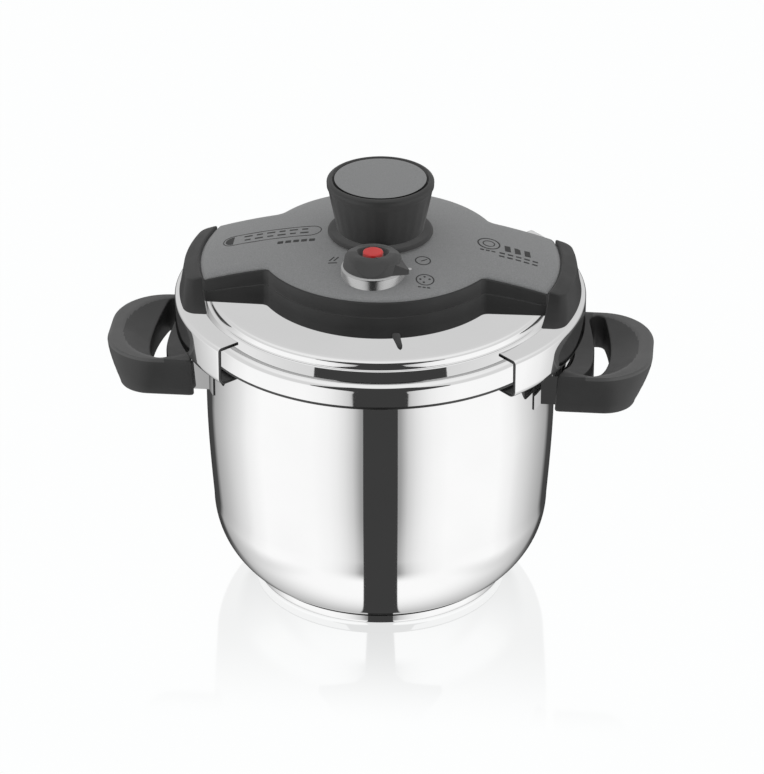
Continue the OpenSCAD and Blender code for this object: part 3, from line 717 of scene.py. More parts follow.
def knob_side():
    h = KNOB_H
    rows = [(7.55, 0), (KNOB_FOOT - 3, 0)] + arc(KNOB_FOOT - 1.1, 1.1, 1.1, -90, -12, 5)
    lean = (KNOB_R - KNOB_FOOT - 0.4) / (h - 6)
    rows += [(KNOB_FOOT + lean * k * (h - 8) / 10, 2 + (h - 8) * k / 10) for k in range(11)]
    rows += [(KNOB_R - 0.12, h - 5)]
    rows += arc(KNOB_R - 2.4, h - 2.4, 2.4, 0, 100, 9)
    rows += [(KNOB_R - RIM_W, h - 0.7), (KNOB_R - RIM_W - 0.1, h - 1.6), (KNOB_R - RIM_W - 0.1, h - 4.5)]
    rows += [(12, h - 4.5), (12, h - 14), (7.55, h - 14)]
    return [(r, KNOB_Z0 + z) for r, z in rows]


finish_mesh("knob_body", *revolve(knob_side(), 224, ripple=knob_ripple), "knob", KNOB_BLACK, "black_bakelite",
            replaces=("knob_shell",))

CAP_R = hi("knob_cap", 0)
CAP_Z0 = lo("knob_cap", 2)
CAP_Z1 = hi("knob_cap", 2)
cap_rows = [(0, CAP_Z1)] + [(CAP_R * k / 8, CAP_Z1 - (CAP_R * k / 8)**2 / 1000) for k in range(1, 8)]
edge_z = CAP_Z1 - CAP_R**2 / 1000
cap_rows += arc(CAP_R - 0.7, edge_z - 0.62, 0.7, 84, 0, 5) + [(CAP_R, CAP_Z0), (0, CAP_Z0)]
disc = finish_mesh("knob_disc", *revolve_solid(cap_rows, 160), "knob", CAP_GREY, "satin_grey_panel",
                   sharp=40, replaces=("knob_cap",))
# paints the groove's shade as a near-black edge round the grey disc
shade(disc, lambda x, y, z: z < CAP_Z1 + 1 and math.hypot(x, y) > CAP_R - 0.75, GROOVE_PAINTED_SHADE)

# ---------- dial ----------

DIAL_R = 17
BRIM_R = BEZEL_R - 1.2
BRIM_Z = BEZEL_Z + 0.4
WINDOW_R = 10
WINDOW_Z = DIAL_Z - 6.5
BEZEL_Z0 = lo("valve_bezel", 2)

ring = [(DIAL_R + 0.4, BEZEL_Z0), (BEZEL_R, BEZEL_Z0)] + arc(BEZEL_R - 0.8, BEZEL_Z - 0.8, 0.8, 0, 90, 6)
ring += arc(DIAL_R + 0.4 + 0.4, BEZEL_Z - 0.4, 0.4, 90, 180, 4)
# the ring's mid-grey steel paints on its reflection of the grey panel
finish_mesh("dial_ring", *revolve(ring, 160, (0, DIAL_Y)), "lid", RING_PAINTED_REFLECTION_STEEL, "polished_steel",
            replaces=("valve_bezel",))


def soft_min(a, b, k):
    """The lesser of two values, blended over the distance k."""
    h = max(k - abs(a - b), 0) / k
    return min(a, b) - h * h * k / 4


def dial_side():
    z0 = lo("dial", 2)
    rows = [(9.5, z0), (DIAL_R, z0), (DIAL_R, BRIM_Z), (BRIM_R - 0.4, BRIM_Z)]
    rows += arc(BRIM_R - 0.5, BRIM_Z + 0.5, 0.5, -60, 20, 4)
    rows += [(BRIM_R - 0.2 - 0.9 * k / 8, BRIM_Z + 0.9 + (DIAL_Z - 4.6 - BRIM_Z) * k / 8) for k in range(9)]
    rows += arc(DIAL_R + 0.3 - 4.2, DIAL_Z - 4.2, 4.2, 8, 88, 14)
    rows += [(WINDOW_R + 1.8, DIAL_Z - 0.02), (WINDOW_R + 1.0, DIAL_Z - 0.04)]
    rows += arc(WINDOW_R + 0.5, DIAL_Z - 0.5, 0.5, 90, 180, 4)
    rows += [(WINDOW_R, WINDOW_Z), (3.8, WINDOW_Z), (3.8, WINDOW_Z - 2.5), (9.5, WINDOW_Z - 2.5)]
    return rows


def front_plane(y):
    """Height of the sloping front of the dial."""
    return DIAL_Z + (y - DIAL_Y + WINDOW_R + 1.2) * math.tan(math.radians(53))


dial_verts, dial_faces = revolve(dial_side(), 192, (0, DIAL_Y))
dial_verts = [
    (x, y, max(soft_min(z, front_plane(y), 1.2), BRIM_Z + 0.3)
     - (2.2 * min(1, max(0, (y - DIAL_Y + 2) / 11)) if z > BRIM_Z + 3 else 0)
     if z > BRIM_Z + 0.6 and math.hypot(x, y - DIAL_Y) > WINDOW_R - 0.1 else z)
    for x, y, z in dial_verts
]
finish_mesh("dial_body", dial_verts, dial_faces, "dial", DIAL_BLACK, "black_bakelite", sharp=38,
            replaces=("dial",))


def wing():
    """Raised pointer: a prism cut by the plane of its top and the plane of its front."""
    plan = [(2.6, -17.4), (9, -18.2), (18.5, -14), (22.4, -11), (23.1, -9.6), (22.9, -8.2),
            (17.3, 1.5), (10.5, 0.5), (8.5, -6), (2.6, -10.3)]
    z0, z1 = BRIM_Z + 0.1, DIAL_Z + 3
    mesh = bpy.data.meshes.new("dial_wing")
    verts, faces = loft([[(x, y + DIAL_Y, z) for x, y in plan] for z in (z0, z1)])
    mesh.from_pydata([(x * MM, y * MM, z * MM) for x, y, z in verts], [], faces)
    bm = bmesh.new()
    bm.from_mesh(mesh)
    bmesh.ops.recalc_face_normals(bm, faces=bm.faces)
    heading = math.radians(3)
    along = Vector((math.cos(heading), math.sin(heading), 0))
    across = Vector((-math.sin(heading), math.cos(heading), 0))
    fall = math.radians(22.5)
    top_normal = along * math.sin(fall) + Vector((0, 0, math.cos(fall)))
    front = math.radians(60)
    front_normal = top_normal * math.cos(front) - across * math.sin(front)
    start = Vector((2.9, DIAL_Y - WINDOW_R - 0.4, DIAL_Z + 0.6)) * MM
    for normal in (top_normal, front_normal):
        cut_face = bmesh.ops.bisect_plane(
            bm, geom=bm.verts[:] + bm.edges[:] + bm.faces[:], dist=1e-7, plane_co=start,
            plane_no=normal, clear_outer=True)
        edges = [e for e in cut_face["geom_cut"] if isinstance(e, bmesh.types.BMEdge)]
        bmesh.ops.edgenet_fill(bm, edges=edges)
    bmesh.ops.recalc_face_normals(bm, faces=bm.faces)
    bm.to_mesh(mesh)
    bm.free()
    piece = bpy.data.objects.new("dial_wing", mesh)
    bpy.context.scene.collection.objects.link(piece)
    mesh.materials.append(DIAL_BLACK)
    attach(piece, "dial")
    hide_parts("dial_pointer")
    cut(piece, [rod(0, DIAL_Y, WINDOW_R, 235, 255)])
    soften = piece.modifiers.new("soften", "BEVEL")
    soften.width = 0.45 * MM
    soften.segments = 3
    soften.limit_method = "ANGLE"
    soften.angle_limit = math.radians(25)
    piece.data.polygons.foreach_set("use_smooth", [True] * len(piece.data.polygons))
    return piece


wing()

RED_R = 6.3
RED_Z0 = lo("indicator_cap", 2)
RED_Z1 = hi("indicator_cap", 2)
red_rows = [(0, RED_Z1), (3, RED_Z1)] + arc(RED_R - 0.8, RED_Z1 - 0.8, 0.8, 90, 0, 6)
red_rows += [(RED_R, RED_Z0), (0, RED_Z0)]
finish_mesh("indicator_button", *revolve_solid(red_rows, 96, (0, DIAL_Y)), "indicator", RED, "red_indicator",
            replaces=("indicator_cap",))

# ---------- jaws and their end caps ----------

JAW_T = 2


def jaw_side():
    """The C-shaped section of a jaw, in radius and height."""
    bend = 5
    rows = [(JAW_LIP_R + 0.4, JAW_Z0)] + [(JAW_R - bend - 1, JAW_Z0)]
    rows += arc(JAW_R - bend, JAW_Z0 + bend, bend, -90, 0, 10)
    rows += arc(JAW_R - 2.5, JAW_Z1 - 2.5, 2.5, 0, 90, 8)
    rows += arc(JAW_TOP_R + 0.5, JAW_Z1 - 0.5, 0.5, 90, 180, 3)
    rows += [(JAW_TOP_R, JAW_Z1 - JAW_T), (JAW_R - JAW_T, JAW_Z1 - JAW_T)]
    rows += arc(JAW_R - bend, JAW_Z0 + bend, bend - JAW_T + 0.2, 0, -90, 8)
    rows += [(JAW_LIP_R + 0.4, JAW_Z0 + 1.8), (JAW_LIP_R, JAW_Z0 + 1.4), (JAW_LIP_R, JAW_Z0 + 0.4)]
    return rows


CAP_GAP = 0.6
BLOCK_IN = ARM_END_R + CAP_GAP
BLOCK_Z = JAW_Z1 + 0.05


def block_loop(shrink, v, drop=0.0):
    """Outline of a jaw's end cap at height fraction v, each side moved in by shrink."""
    half = 37.2 + 9.8 * (1 - v)**1.5 - shrink
    r_in = BLOCK_IN + shrink
    r_out = JAW_R - 3 - 3.0 * v - shrink
    depth = r_out - r_in
    cut_in, cut_out = max(1.2 - shrink, 0.3), max(6.0 - shrink, 0.6)
    count = 30
    plan = fillet([(-half, 0, cut_in), (half, 0, cut_in), (half, depth, cut_out), (-half, depth, cut_out)], 8)
    rows = []
    for i, (y, t) in enumerate(plan):
        rows.append((y, t))
        y2, t2 = plan[(i + 1) % len(plan)]
        if abs(y2 - y) > 10:
            rows += [(y + (y2 - y) * k / count, t + (t2 - t) * k / count) for k in range(1, count)]
    made = []
    for y, t in rows:
        r = r_in + t
        made.append((math.sqrt(r * r - y * y), y))
    return made


def block_mesh(side):
    loops = []

    def add(shrink, v, rise=0.0, drop=0.0, factor=1.0):
        outline = block_loop(shrink, v)
        mid_r = (BLOCK_IN + JAW_R - 6) / 2
        loop = []
        for x, y in outline:
            r = math.hypot(x, y)
            r = mid_r + (r - mid_r) * factor
            y2 = y * (0.5 + 0.5 * factor)
            x2 = math.sqrt(r * r - y2 * y2)
            top = dome(x2, y2, drop)
            z = BLOCK_Z + rise if v == 0 else BLOCK_Z + (top - BLOCK_Z) * v
            loop.append((side * x2, y2, z))
        loops.append(loop)

    add(2.5, 0, 0, factor=0.3)
    add(0.5, 0)
    add(0.0, 0, 0.5)
    for v in (0.12, 0.25, 0.4, 0.55, 0.7, 0.85):
        add(0, v, drop=1.2)
    for k in range(6):
        a = math.radians(90 * k / 5)
        add(1.5 * (1 - math.cos(a)), 1, drop=1.5 * (1 - math.sin(a)))
    add(2.0, 1, factor=0.8)
    add(2.5, 1, factor=0.3)
    return loft(loops)


def in_jaw_shade(x, y, z):
    """The cut ends and the inside of a jaw, which get dark steel as painted shade."""
    angle = math.degrees(math.atan2(abs(y), abs(x)))
    inside = math.hypot(x, y) < JAW_R - 1.2 and JAW_Z0 + 0.9 < z < JAW_Z1 - 1
    return angle > JAW_ANGLE - 0.22 or inside


for side, hand in ((-1, "left"), (1, "right")):
    jaw = finish_mesh(f"jaw_steel_{hand}", *sector(jaw_side(), JAW_ANGLE, side), f"jaw_{hand}", CHROME,
                      "polished_steel", replaces=(f"jaw_{hand}",))
    # paints shade on the jaw's cut ends and inside
    shade(jaw, in_jaw_shade)
    finish_mesh(f"jaw_block_{hand}", *block_mesh(side), f"jaw_{hand}", COVER_BLACK,
                "black_bakelite", sharp=50, replaces=(f"jaw_cap_{hand}",))

# ---------- handles and brackets ----------

ROOT_R = POT_R + 11.7
SLOT_R = POT_R + 30
SLOT_HALF = 15
SLOT_GAP = 5
NOSE = 34
TOP_EDGE = 2.4
WALL_SLOPE = 10
FOOT_FLARE = 0.5
FOOT_EDGE = 1.6
SLOT_LIP = 1.1


def resample(line, count):
    """Points evenly spaced along an open line, ends included."""
    marks = [0.0]
    for a, b in zip(line, line[1:]):
        marks.append(marks[-1] + math.dist(a, b))
    made = []
    j = 0
    for i in range(count + 1):
        want = marks[-1] * i / count
        while j < len(line) - 2 and marks[j + 1] < want:
            j += 1
        part = (want - marks[j]) / max(marks[j + 1] - marks[j], 1e-9)
        made.append(tuple(p + (q - p) * part for p, q in zip(line[j], line[j + 1])))
    return made


def mirrored(quarter_out, quarter_in):
    """A closed loop from its upper half: outermost point, top point, innermost point."""
    upper = quarter_out + quarter_in[1:]
    return upper + [(x, -y) for x, y in reversed(upper[1:-1])]


def slot_loop(count, grow=0.0):
    gap = SLOT_GAP + grow
    a = math.radians(SLOT_HALF)
    far, near = SLOT_R + gap, SLOT_R - gap
    turns = [a * k / 10 for k in range(11)]
    outer = [(far * math.cos(t), far * math.sin(t)) for t in turns]
    inner = [(near * math.cos(t), near * math.sin(t)) for t in reversed(turns)]
    cx, cy = SLOT_R * math.cos(a), SLOT_R * math.sin(a)
    bends = [math.pi * k / 12 for k in range(13)]
    tip = [(cx + gap * math.cos(a + t), cy + gap * math.sin(a + t)) for t in bends]
    return mirrored(resample(outer + tip[1:7], count), resample(tip[6:] + inner[1:], count))


def grip_loop(count, shrink=0.0, out=0.0, half_in=0.0):
    """Outline of a handle at one height; shrink rounds the edges, out and half_in slope the walls."""
    reach = HANDLE_X - out - shrink
    half = HANDLE_Y - half_in - shrink
    nose = NOSE - shrink - out * 1.4
    root = ROOT_R + min(shrink, 1.2)
    tip = arc(reach - nose, half - nose, nose, 0, 90, 16)
    start_y = tip[0][1]
    face = [(reach, start_y * k / 8) for k in range(8)]
    top_point = [(SLOT_R - 4, half)]
    corner = math.sqrt(root**2 - half**2)
    turn = math.atan2(half - 1.2, corner)
    near = [(corner + 1.2, half)] + [(root * math.cos(turn * k / 12), root * math.sin(turn * k / 12))
                                     for k in range(12, -1, -1)]
    outer = [p for p in face + tip if p[0] > SLOT_R - 4] + top_point
    return mirrored(resample(outer, count), resample(top_point + near, count))


def dished(x, y):
    """How far the palm face lies below the top of the handle."""
    depth = 7.5 * (1 - ((x - SLOT_R + 6) / 30)**2 - (y / 42)**2)
    return -soft_min(0, -depth, 0.8)


def mix_loops(a, b, t):
    return [(p[0] + (q[0] - p[0]) * t, p[1] + (q[1] - p[1]) * t) for p, q in zip(a, b)]


def handle_mesh(side):
    n = 44
    tall = HANDLE_Z1 - HANDLE_Z0
    loops = []

    def add(outline, height):
        loops.append([(side * x, y, height(x, y)) for x, y in outline])

    inner = slot_loop(n)
    top_edge = grip_loop(n, shrink=TOP_EDGE)
    for k in range(4):
        a = math.radians(90 * k / 3)
        grow = SLOT_LIP * (1 - math.cos(a))
        add(slot_loop(n, grow), lambda x, y, a=a: HANDLE_Z1 - dished(x, y) - SLOT_LIP * (1 - math.sin(a)))
    for t in [k / 24 for k in range(1, 24)]:
        add(mix_loops(slot_loop(n, SLOT_LIP), top_edge, t), lambda x, y: HANDLE_Z1 - dished(x, y))
    for k in range(6):
        a = math.radians(90 * k / 5)
        add(grip_loop(n, shrink=TOP_EDGE * (1 - math.sin(a)), half_in=TOP_EDGE * math.sin(a)),
            lambda x, y, a=a: HANDLE_Z1 - dished(x, y) - TOP_EDGE * (1 - math.cos(a)))
    for v in (0, 0.15, 0.3, 0.45, 0.6, 0.8):
        add(grip_loop(n, out=WALL_SLOPE * v**1.5, half_in=TOP_EDGE * (1 - v) - FOOT_FLARE * v),
            lambda x, y, v=v: HANDLE_Z1 - TOP_EDGE - (tall - 4.2) * v)
    for k in range(5):
        a = math.radians(90 * k / 4)
        add(grip_loop(n, out=WALL_SLOPE, half_in=-FOOT_FLARE, shrink=FOOT_EDGE * (1 - math.cos(a))),
            lambda x, y, a=a: HANDLE_Z0 + FOOT_EDGE * (1 - math.sin(a)))
    bottom = grip_loop(n, out=WALL_SLOPE, half_in=-FOOT_FLARE, shrink=2.4)
    for t in (0.3, 0.6, 0.85):
        add(mix_loops(bottom, slot_loop(n, 0.8), t), lambda x, y: HANDLE_Z0)
    for k in range(3):
        a = math.radians(90 * k / 2)
        add(slot_loop(n, 0.8 * (1 - math.sin(a))), lambda x, y, a=a: HANDLE_Z0 + 0.8 * (1 - math.cos(a)))
    add(inner, lambda x, y: HANDLE_Z0 + tall * 0.4)
    return loft(loops, wrap=True)


def on_palm_rim(x, y, z):
    """The flat band round the dished palm face, which gets a lighter black as painted light."""
    return z > HANDLE_Z1 - 2.2 and abs(x) > SLOT_R - 8 and dished(abs(x), y) < 0.5


for side, hand in ((-1, "left"), (1, "right")):
    grip = finish_mesh(f"grip_{hand}", *handle_mesh(side), "pot", BAKELITE, "black_bakelite", sharp=45,
                       replaces=(f"handle_{hand}",))
    # paints light on the palm rim with the lighter black
    shade(grip, on_palm_rim, RIM_PAINTED_LIGHT)
    bracket = frame["nodes"][f"handle_bracket_{hand}"]
    for i in range(len(bracket.data.materials)):
        bracket.data.materials[i] = CHROME
    soften = bracket.modifiers.new("soften", "BEVEL")
    soften.width = 0.35 * MM
    soften.segments = 2
    soften.limit_method = "ANGLE"
    soften.angle_limit = math.radians(50)

# ---------- steam spout ----------


def spout_mesh():
    """A tapered finger that lies on the lid, with a rounded back and tip."""
    heading = math.radians(-75)
    ahead = (math.cos(heading), math.sin(heading))
    loops = []
    for s, wide, tall in ((-3.6, 2.2, 2.6), (-3.0, 2.8, 3.3), (0, 2.6, 3.4), (5, 2.15, 3.1), (10, 1.85, 2.9),
                          (14, 1.6, 2.7), (15.6, 1.2, 2.3), (16.3, 0.5, 1.4)):
        loop = []
        for k in range(24):
            a = TAU * k / 24
            c, t = math.cos(a), math.sin(a)
            across = wide * math.copysign(abs(c)**0.7, c)
            up = tall / 2 + tall / 2 * math.copysign(abs(t)**0.7, t)
            x = 16.5 + ahead[0] * s - ahead[1] * across
            y = -DISC_R + 1.5 + ahead[1] * s + ahead[0] * across
            loop.append((x, y, LID_Z + 0.12 + up))
        loops.append(loop)
    return loft(loops)


finish_mesh("steam_outlet", *spout_mesh(), "lid", COVER_BLACK, "black_bakelite", sharp=60,
            replaces=("steam_spout",))

# ---------- printed marks ----------

INK = 0.07


def mark(name, outline, ink=PRINT, slot="black_bakelite"):
    """A thin printed shape that follows the dome."""
    cx = sum(p[0] for p in outline) / len(outline)
    cy = sum(p[1] for p in outline) / len(outline)
    top = [(cx + (x - cx) * s, cy + (y - cy) * s) for s in (1,) for x, y in outline]
    loops = [[(x, y, dome(x, y, 0.3)) for x, y in top], [(x, y, dome(x, y, -INK)) for x, y in top]]
    verts, faces = loft(loops, caps=False)
    n = len(outline)
    for base_i, drop in ((0, 0.3), (n, -INK)):
        tip = len(verts)
        verts.append((cx, cy, dome(cx, cy, drop)))
        for k in range(n):
            faces.append((tip, base_i + k, base_i + (k + 1) % n))
    return finish_mesh(name, verts, faces, "lid", ink, slot)


def band(name, centre_line, width, closed=False, ink=PRINT, slot="black_bakelite"):
    """A printed line of even width along a path."""
    loops = []
    count = len(centre_line)
    for i, (x, y) in enumerate(centre_line):
        before = centre_line[i - 1] if i > 0 or closed else centre_line[i]
        after = centre_line[(i + 1) % count] if i < count - 1 or closed else centre_line[i]
        way = Vector((after[0] - before[0], after[1] - before[1])).normalized()
        nx, ny = -way.y * width / 2, way.x * width / 2
        loops.append([
            (x - nx, y - ny, dome(x, y, 0.3)), (x + nx, y + ny, dome(x, y, 0.3)),
            (x + nx, y + ny, dome(x, y, -INK)), (x - nx, y - ny, dome(x, y, -INK)),
        ])
    return finish_mesh(name, *loft(loops, wrap=closed), "lid", ink, slot)


def bar(name, x, y, length, width, angle=0.0, ink=PRINT):
    a = math.radians(angle)
    along = [(k / 6 - 0.5) * length for k in range(7)]
    line = [(x + step * math.cos(a), y + step * math.sin(a)) for step in along]
    return band(name, line, width, ink=ink)


def ring_mark(name, x, y, r, width, ink=PRINT):
    return band(name, arc(x, y, r, 0, 360 - 360 / 40, 39), width, closed=True, ink=ink)


def dot(name, x, y, r, ink=PRINT):
    return mark(name, arc(x, y, r, 0, 360 - 360 / 20, 19), ink)


oval = arc(-93, 2.5, 6.5, 90, 270, 14) + arc(-44, 2.5, 6.5, -90, 90, 14)
band("mark_oval", resample(oval + oval[:1], 120)[:-1], 0.6, closed=True)
mark("mark_oval_end", arc(-93, 2.5, 5.2, 90, 270, 12))
for row, y in enumerate((5.4, 0.4)):
    for k in range(6):
        bar(f"mark_line_{row}_{k}", -84 + 7.2 * k, y, 5.2 - (k + row) % 2 * 1.4, 1.5)
for k in range(5):
    bar(f"mark_word_{k}", -62 + 5.0 * k, -10.5, 3.6, 3.0)

ring_mark("mark_ring", 68, 2, 6.8, 0.9)
ring_mark("mark_ring_inner", 68, 2, 3.6, 0.7)
for k in range(3):
    bar(f"mark_ring_foot_{k}", 64.5 + 3.5 * k, -7.5, 2.4, 1.3)
for k in range(3):
    bar(f"mark_big_{k}", 80 + 6.2 * k, 0.5, 3.6, 7.2, 8)
for row, y in enumerate((-7.0, -11.0)):
    for k in range(5):
        bar(f"mark_small_{row}_{k}", 77 + 5.2 * k, y, 3.4, 1.5)

ring_mark("mark_gauge", 32.5, -53.5, 5.4, 0.8)
for k in range(4):
    a = math.radians(20 + 80 * k)
    dot(f"mark_gauge_dot_{k}", 32.5 + 2.9 * math.cos(a), -53.5 + 2.9 * math.sin(a), 0.75)
for k in range(3):
    bar(f"mark_gauge_foot_{k}", 29.8 + 2.8 * k, -61.2, 1.9, 1.3)
ring_mark("mark_meter", 29.5, -33, 4.6, 0.8)
bar("mark_meter_hand", 30.2, -32.4, 4.4, 0.8, 38)
for k in range(2):
    bar(f"mark_steam_{k}", -27 + 2.8 * k, -36, 5.2, 0.9, 60)
bar("mark_steam_foot", -26, -40.4, 5.6, 1.0)
dot("mark_light_dot", 22.3, -43.9, 1.15, PRINT_LIGHT)

# ---------- studio ----------

CAMERA_AZ = 5.3
CAMERA_EL = 28.7
CAMERA_DIST = 2.6
LOOK = Vector((0, 0, 0.112))
PIXELS_PER_M = 1559
WIDTH_PX = 764
SENSOR = 36


def heading(azimuth, elevation):
    a, e = math.radians(azimuth), math.radians(elevation)
    return Vector((math.sin(a) * math.cos(e), -math.cos(a) * math.cos(e), math.sin(e)))


camera_data = bpy.data.cameras.new("camera")
camera = bpy.data.objects.new("camera", camera_data)
bpy.context.scene.collection.objects.link(camera)
camera.location = LOOK + heading(CAMERA_AZ, CAMERA_EL) * CAMERA_DIST
camera.rotation_euler = (-heading(CAMERA_AZ, CAMERA_EL)).to_track_quat("-Z", "Y").to_euler()
camera_data.sensor_fit = "HORIZONTAL"
camera_data.sensor_width = SENSOR
camera_data.lens = SENSOR * PIXELS_PER_M * CAMERA_DIST / WIDTH_PX
camera_data.shift_x = 0.00203
camera_data.shift_y = 0.02827
camera_data.dof.use_dof = False
bpy.context.scene.camera = camera

world = bpy.data.worlds.new("studio")
world.use_nodes = True
world.node_tree.nodes["Background"].inputs["Color"].default_value = (1, 1, 1, 1)
world.node_tree.nodes["Background"].inputs["Strength"].default_value = 1.0
bpy.context.scene.world = world
bpy.context.scene.view_settings.view_transform = "Standard"


def math_node(tree, operation, a, b=None, c=None):
    node = tree.nodes.new("ShaderNodeMath")
    node.operation = operation
    for socket, value in zip(node.inputs, (a, b, c)):
        if value is None:
            continue
        if isinstance(value, (int, float)):
            socket.default_value = value
        else:
            tree.links.new(value, socket)
    return node.outputs[0]


def map_node(tree, value, f0, f1, t0, t1, smooth=False):
    node = tree.nodes.new("ShaderNodeMapRange")
    node.interpolation_type = "SMOOTHSTEP" if smooth else "LINEAR"
    tree.links.new(value, node.inputs["Value"])
    for name, amount in (("From Min", f0), ("From Max", f1), ("To Min", t0), ("To Max", t1)):
        if isinstance(amount, (int, float)):
            node.inputs[name].default_value = amount
        else:
            tree.links.new(amount, node.inputs[name])
    return node.outputs["Result"]


def ramp_node(tree, value, stops):
    node = tree.nodes.new("ShaderNodeValToRGB")
    ramp = node.color_ramp
    while len(ramp.elements) < len(stops):
        ramp.elements.new(0.5)
    for element, (position, tone) in zip(ramp.elements, stops):
        element.position = position
        element.color = (tone, tone, tone, 1)
    tree.links.new(value, node.inputs["Fac"])
    return node.outputs["Color"]


def blend_node(tree, amount, a, b):
    """Goes from a to b as the amount goes from 0 to 1."""
    node = tree.nodes.new("ShaderNodeMix")
    for index, value in ((0, amount), (2, a), (3, b)):
        if isinstance(value, (int, float)):
            node.inputs[index].default_value = value
        else:
            tree.links.new(value, node.inputs[index])
    return node.outputs[0]


TENT_R = 8.0
STRIP_TONE = 0.046
GHOST = 0.6


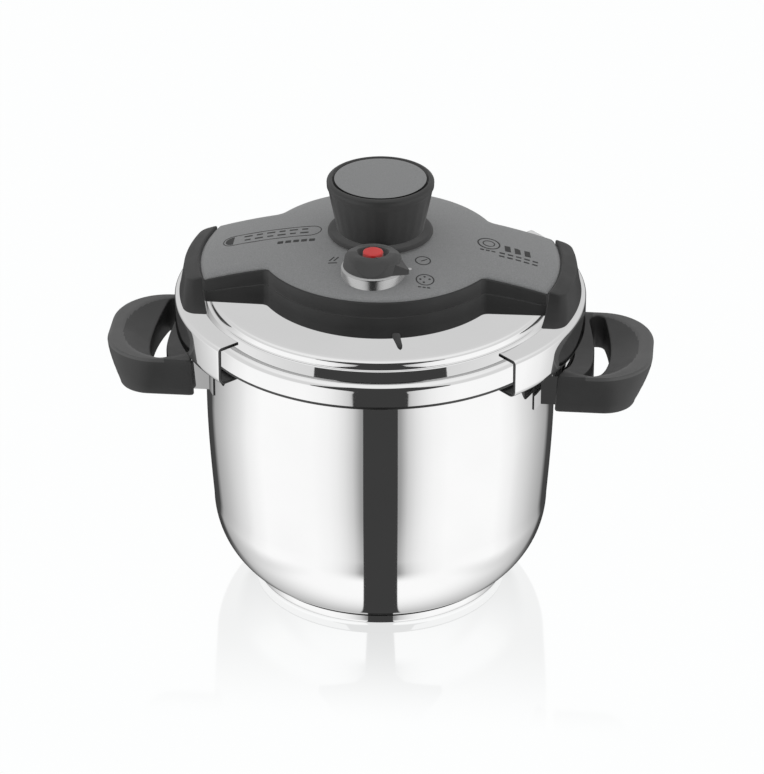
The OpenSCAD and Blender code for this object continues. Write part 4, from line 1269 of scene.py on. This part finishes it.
def studio_shell():
    """A tent round the set that only reflections see: white, with a dark strip behind the camera."""
    mesh = bpy.data.meshes.new("studio_tent")
    bm = bmesh.new()
    bmesh.ops.create_uvsphere(bm, u_segments=96, v_segments=48, radius=TENT_R)
    bm.to_mesh(mesh)
    bm.free()
    tent = bpy.data.objects.new("studio_tent", mesh)
    bpy.context.scene.collection.objects.link(tent)
    tent.rotation_euler = (0, 0, math.radians(CAMERA_AZ))
    material = bpy.data.materials.new("studio_tent")
    material.use_nodes = True
    tree = material.node_tree
    tree.nodes.clear()
    coords = tree.nodes.new("ShaderNodeTexCoord")
    parts = tree.nodes.new("ShaderNodeSeparateXYZ")
    tree.links.new(coords.outputs["Object"], parts.inputs["Vector"])
    x, y, z = parts.outputs
    away = math_node(tree, "ABSOLUTE", math_node(tree, "ARCTAN2", x, math_node(tree, "MULTIPLY", y, -1.0)))
    azimuth = math_node(tree, "DIVIDE", away, math.pi)
    height = math_node(tree, "DIVIDE", z, TENT_R)
    elevation = math_node(tree, "MULTIPLY", math_node(tree, "ARCSINE", height), 180 / math.pi)
    degrees = math_node(tree, "MULTIPLY", azimuth, 180.0)
    low = ramp_node(tree, azimuth, [
        (0.0, 0.27), (13 / 180, 0.33), (18.3 / 180, 0.62), (23.7 / 180, 0.78), (29 / 180, 0.885),
        (35 / 180, 0.95), (46 / 180, 1.0), (86 / 180, 1.0), (99 / 180, 0.905), (107 / 180, 0.78),
        (117 / 180, 0.66), (128 / 180, 0.52), (142 / 180, 0.38), (150 / 180, 0.06), (1.0, 0.04)])
    high = ramp_node(tree, azimuth, [(0.0, 0.86), (0.45, 0.9), (0.75, 0.84), (1.0, 0.82)])
    up_front = map_node(tree, elevation, 30, 55, 0.80, 1.0, True)
    rise = map_node(tree, elevation, -14, 4, 0.0, 1.0, True)
    side_on = math_node(tree, "DIVIDE", math_node(tree, "ABSOLUTE", x), TENT_R)
    ahead = math_node(tree, "DIVIDE", y, -TENT_R)
    below = math_node(tree, "MULTIPLY", map_node(tree, ahead, -0.85, 0.3, 0.46, 1.0, True),
                      map_node(tree, side_on, 0.55, 0.98, 1.0, 0.45, True))
    deep = map_node(tree, elevation, -50, -34, 1.0, 0.0, True)
    wall = blend_node(tree, deep, low, below)
    sky = math_node(tree, "MULTIPLY", high, up_front)
    tone = blend_node(tree, rise, wall, sky)
    half = math_node(tree, "ADD", map_node(tree, elevation, -27, -18, 11.2, 15.6),
                     math_node(tree, "SUBTRACT", map_node(tree, elevation, -17, -3, 0.0, 25.0),
                               map_node(tree, elevation, 6, 50, 0.0, 22.0)))
    strip = map_node(tree, degrees, half, math_node(tree, "ADD", half, 0.5), 0.0, 1.0, True)
    over = math_node(tree, "MAXIMUM", strip, map_node(tree, elevation, 44, 50, 0.0, 1.0, True))
    reach = math_node(tree, "MULTIPLY_ADD", ahead, 0.088, 0.0925)
    under = map_node(tree, side_on, reach, math_node(tree, "ADD", reach, 0.007), 0.0, 1.0, True)
    below_wall = map_node(tree, elevation, -28.6, -28.4, 0.0, 1.0)
    lit = blend_node(tree, below_wall, under, over)
    light = blend_node(tree, lit, STRIP_TONE, tone)
    # what the floor mirrors is seen at a second bounce and is shown as a pale grey ghost
    path = tree.nodes.new("ShaderNodeLightPath")
    bounce = map_node(tree, path.outputs["Ray Depth"], 1.2, 1.8, 1.0, GHOST, True)
    light = math_node(tree, "MULTIPLY", light, bounce)
    emission = tree.nodes.new("ShaderNodeEmission")
    tree.links.new(light, emission.inputs["Strength"])
    output = tree.nodes.new("ShaderNodeOutputMaterial")
    tree.links.new(emission.outputs[0], output.inputs["Surface"])
    mesh.materials.append(material)
    tent.visible_camera = False
    tent.visible_diffuse = False
    tent.visible_shadow = False
    tent.visible_transmission = False


def studio_floor():
    """A white floor with a faint mirror image that fades towards the front."""
    mesh = bpy.data.meshes.new("floor")
    mesh.from_pydata([(-40, -40, 0), (40, -40, 0), (40, 40, 0), (-40, 40, 0)], [], [(0, 1, 2, 3)])
    floor = bpy.data.objects.new("floor", mesh)
    bpy.context.scene.collection.objects.link(floor)
    floor.location.z = -0.0002
    material = bpy.data.materials.new("floor")
    material.use_nodes = True
    tree = material.node_tree
    tree.nodes.clear()
    white = tree.nodes.new("ShaderNodeEmission")
    white.inputs["Color"].default_value = (0.985, 0.992, 0.992, 1)
    mirror = tree.nodes.new("ShaderNodeBsdfGlossy")
    mirror.inputs["Roughness"].default_value = 0.06
    coords = tree.nodes.new("ShaderNodeTexCoord")
    parts = tree.nodes.new("ShaderNodeSeparateXYZ")
    tree.links.new(coords.outputs["Object"], parts.inputs["Vector"])
    fade = map_node(tree, parts.outputs["Y"], -0.20, -0.08, 0.0, 0.45, True)
    # brighter where it mirrors more, so that the floor itself stays an even white
    level = math_node(tree, "DIVIDE", math_node(tree, "MULTIPLY_ADD", fade, -0.533, 1.0),
                      math_node(tree, "SUBTRACT", 1.0, fade))
    tree.links.new(level, white.inputs["Strength"])
    mix = tree.nodes.new("ShaderNodeMixShader")
    tree.links.new(fade, mix.inputs["Fac"])
    tree.links.new(white.outputs[0], mix.inputs[1])
    tree.links.new(mirror.outputs[0], mix.inputs[2])
    output = tree.nodes.new("ShaderNodeOutputMaterial")
    tree.links.new(mix.outputs[0], output.inputs["Surface"])
    mesh.materials.append(material)
    floor.visible_glossy = False


studio_shell()
studio_floor()

# the photo's steel shows a clean studio: only the steel body and the grips appear in it
for piece in bpy.context.scene.objects:
    if piece.type == "MESH" and not piece.name.startswith(("pot_", "base_", "lid_steel", "grip_", "studio")):
        piece.visible_glossy = False
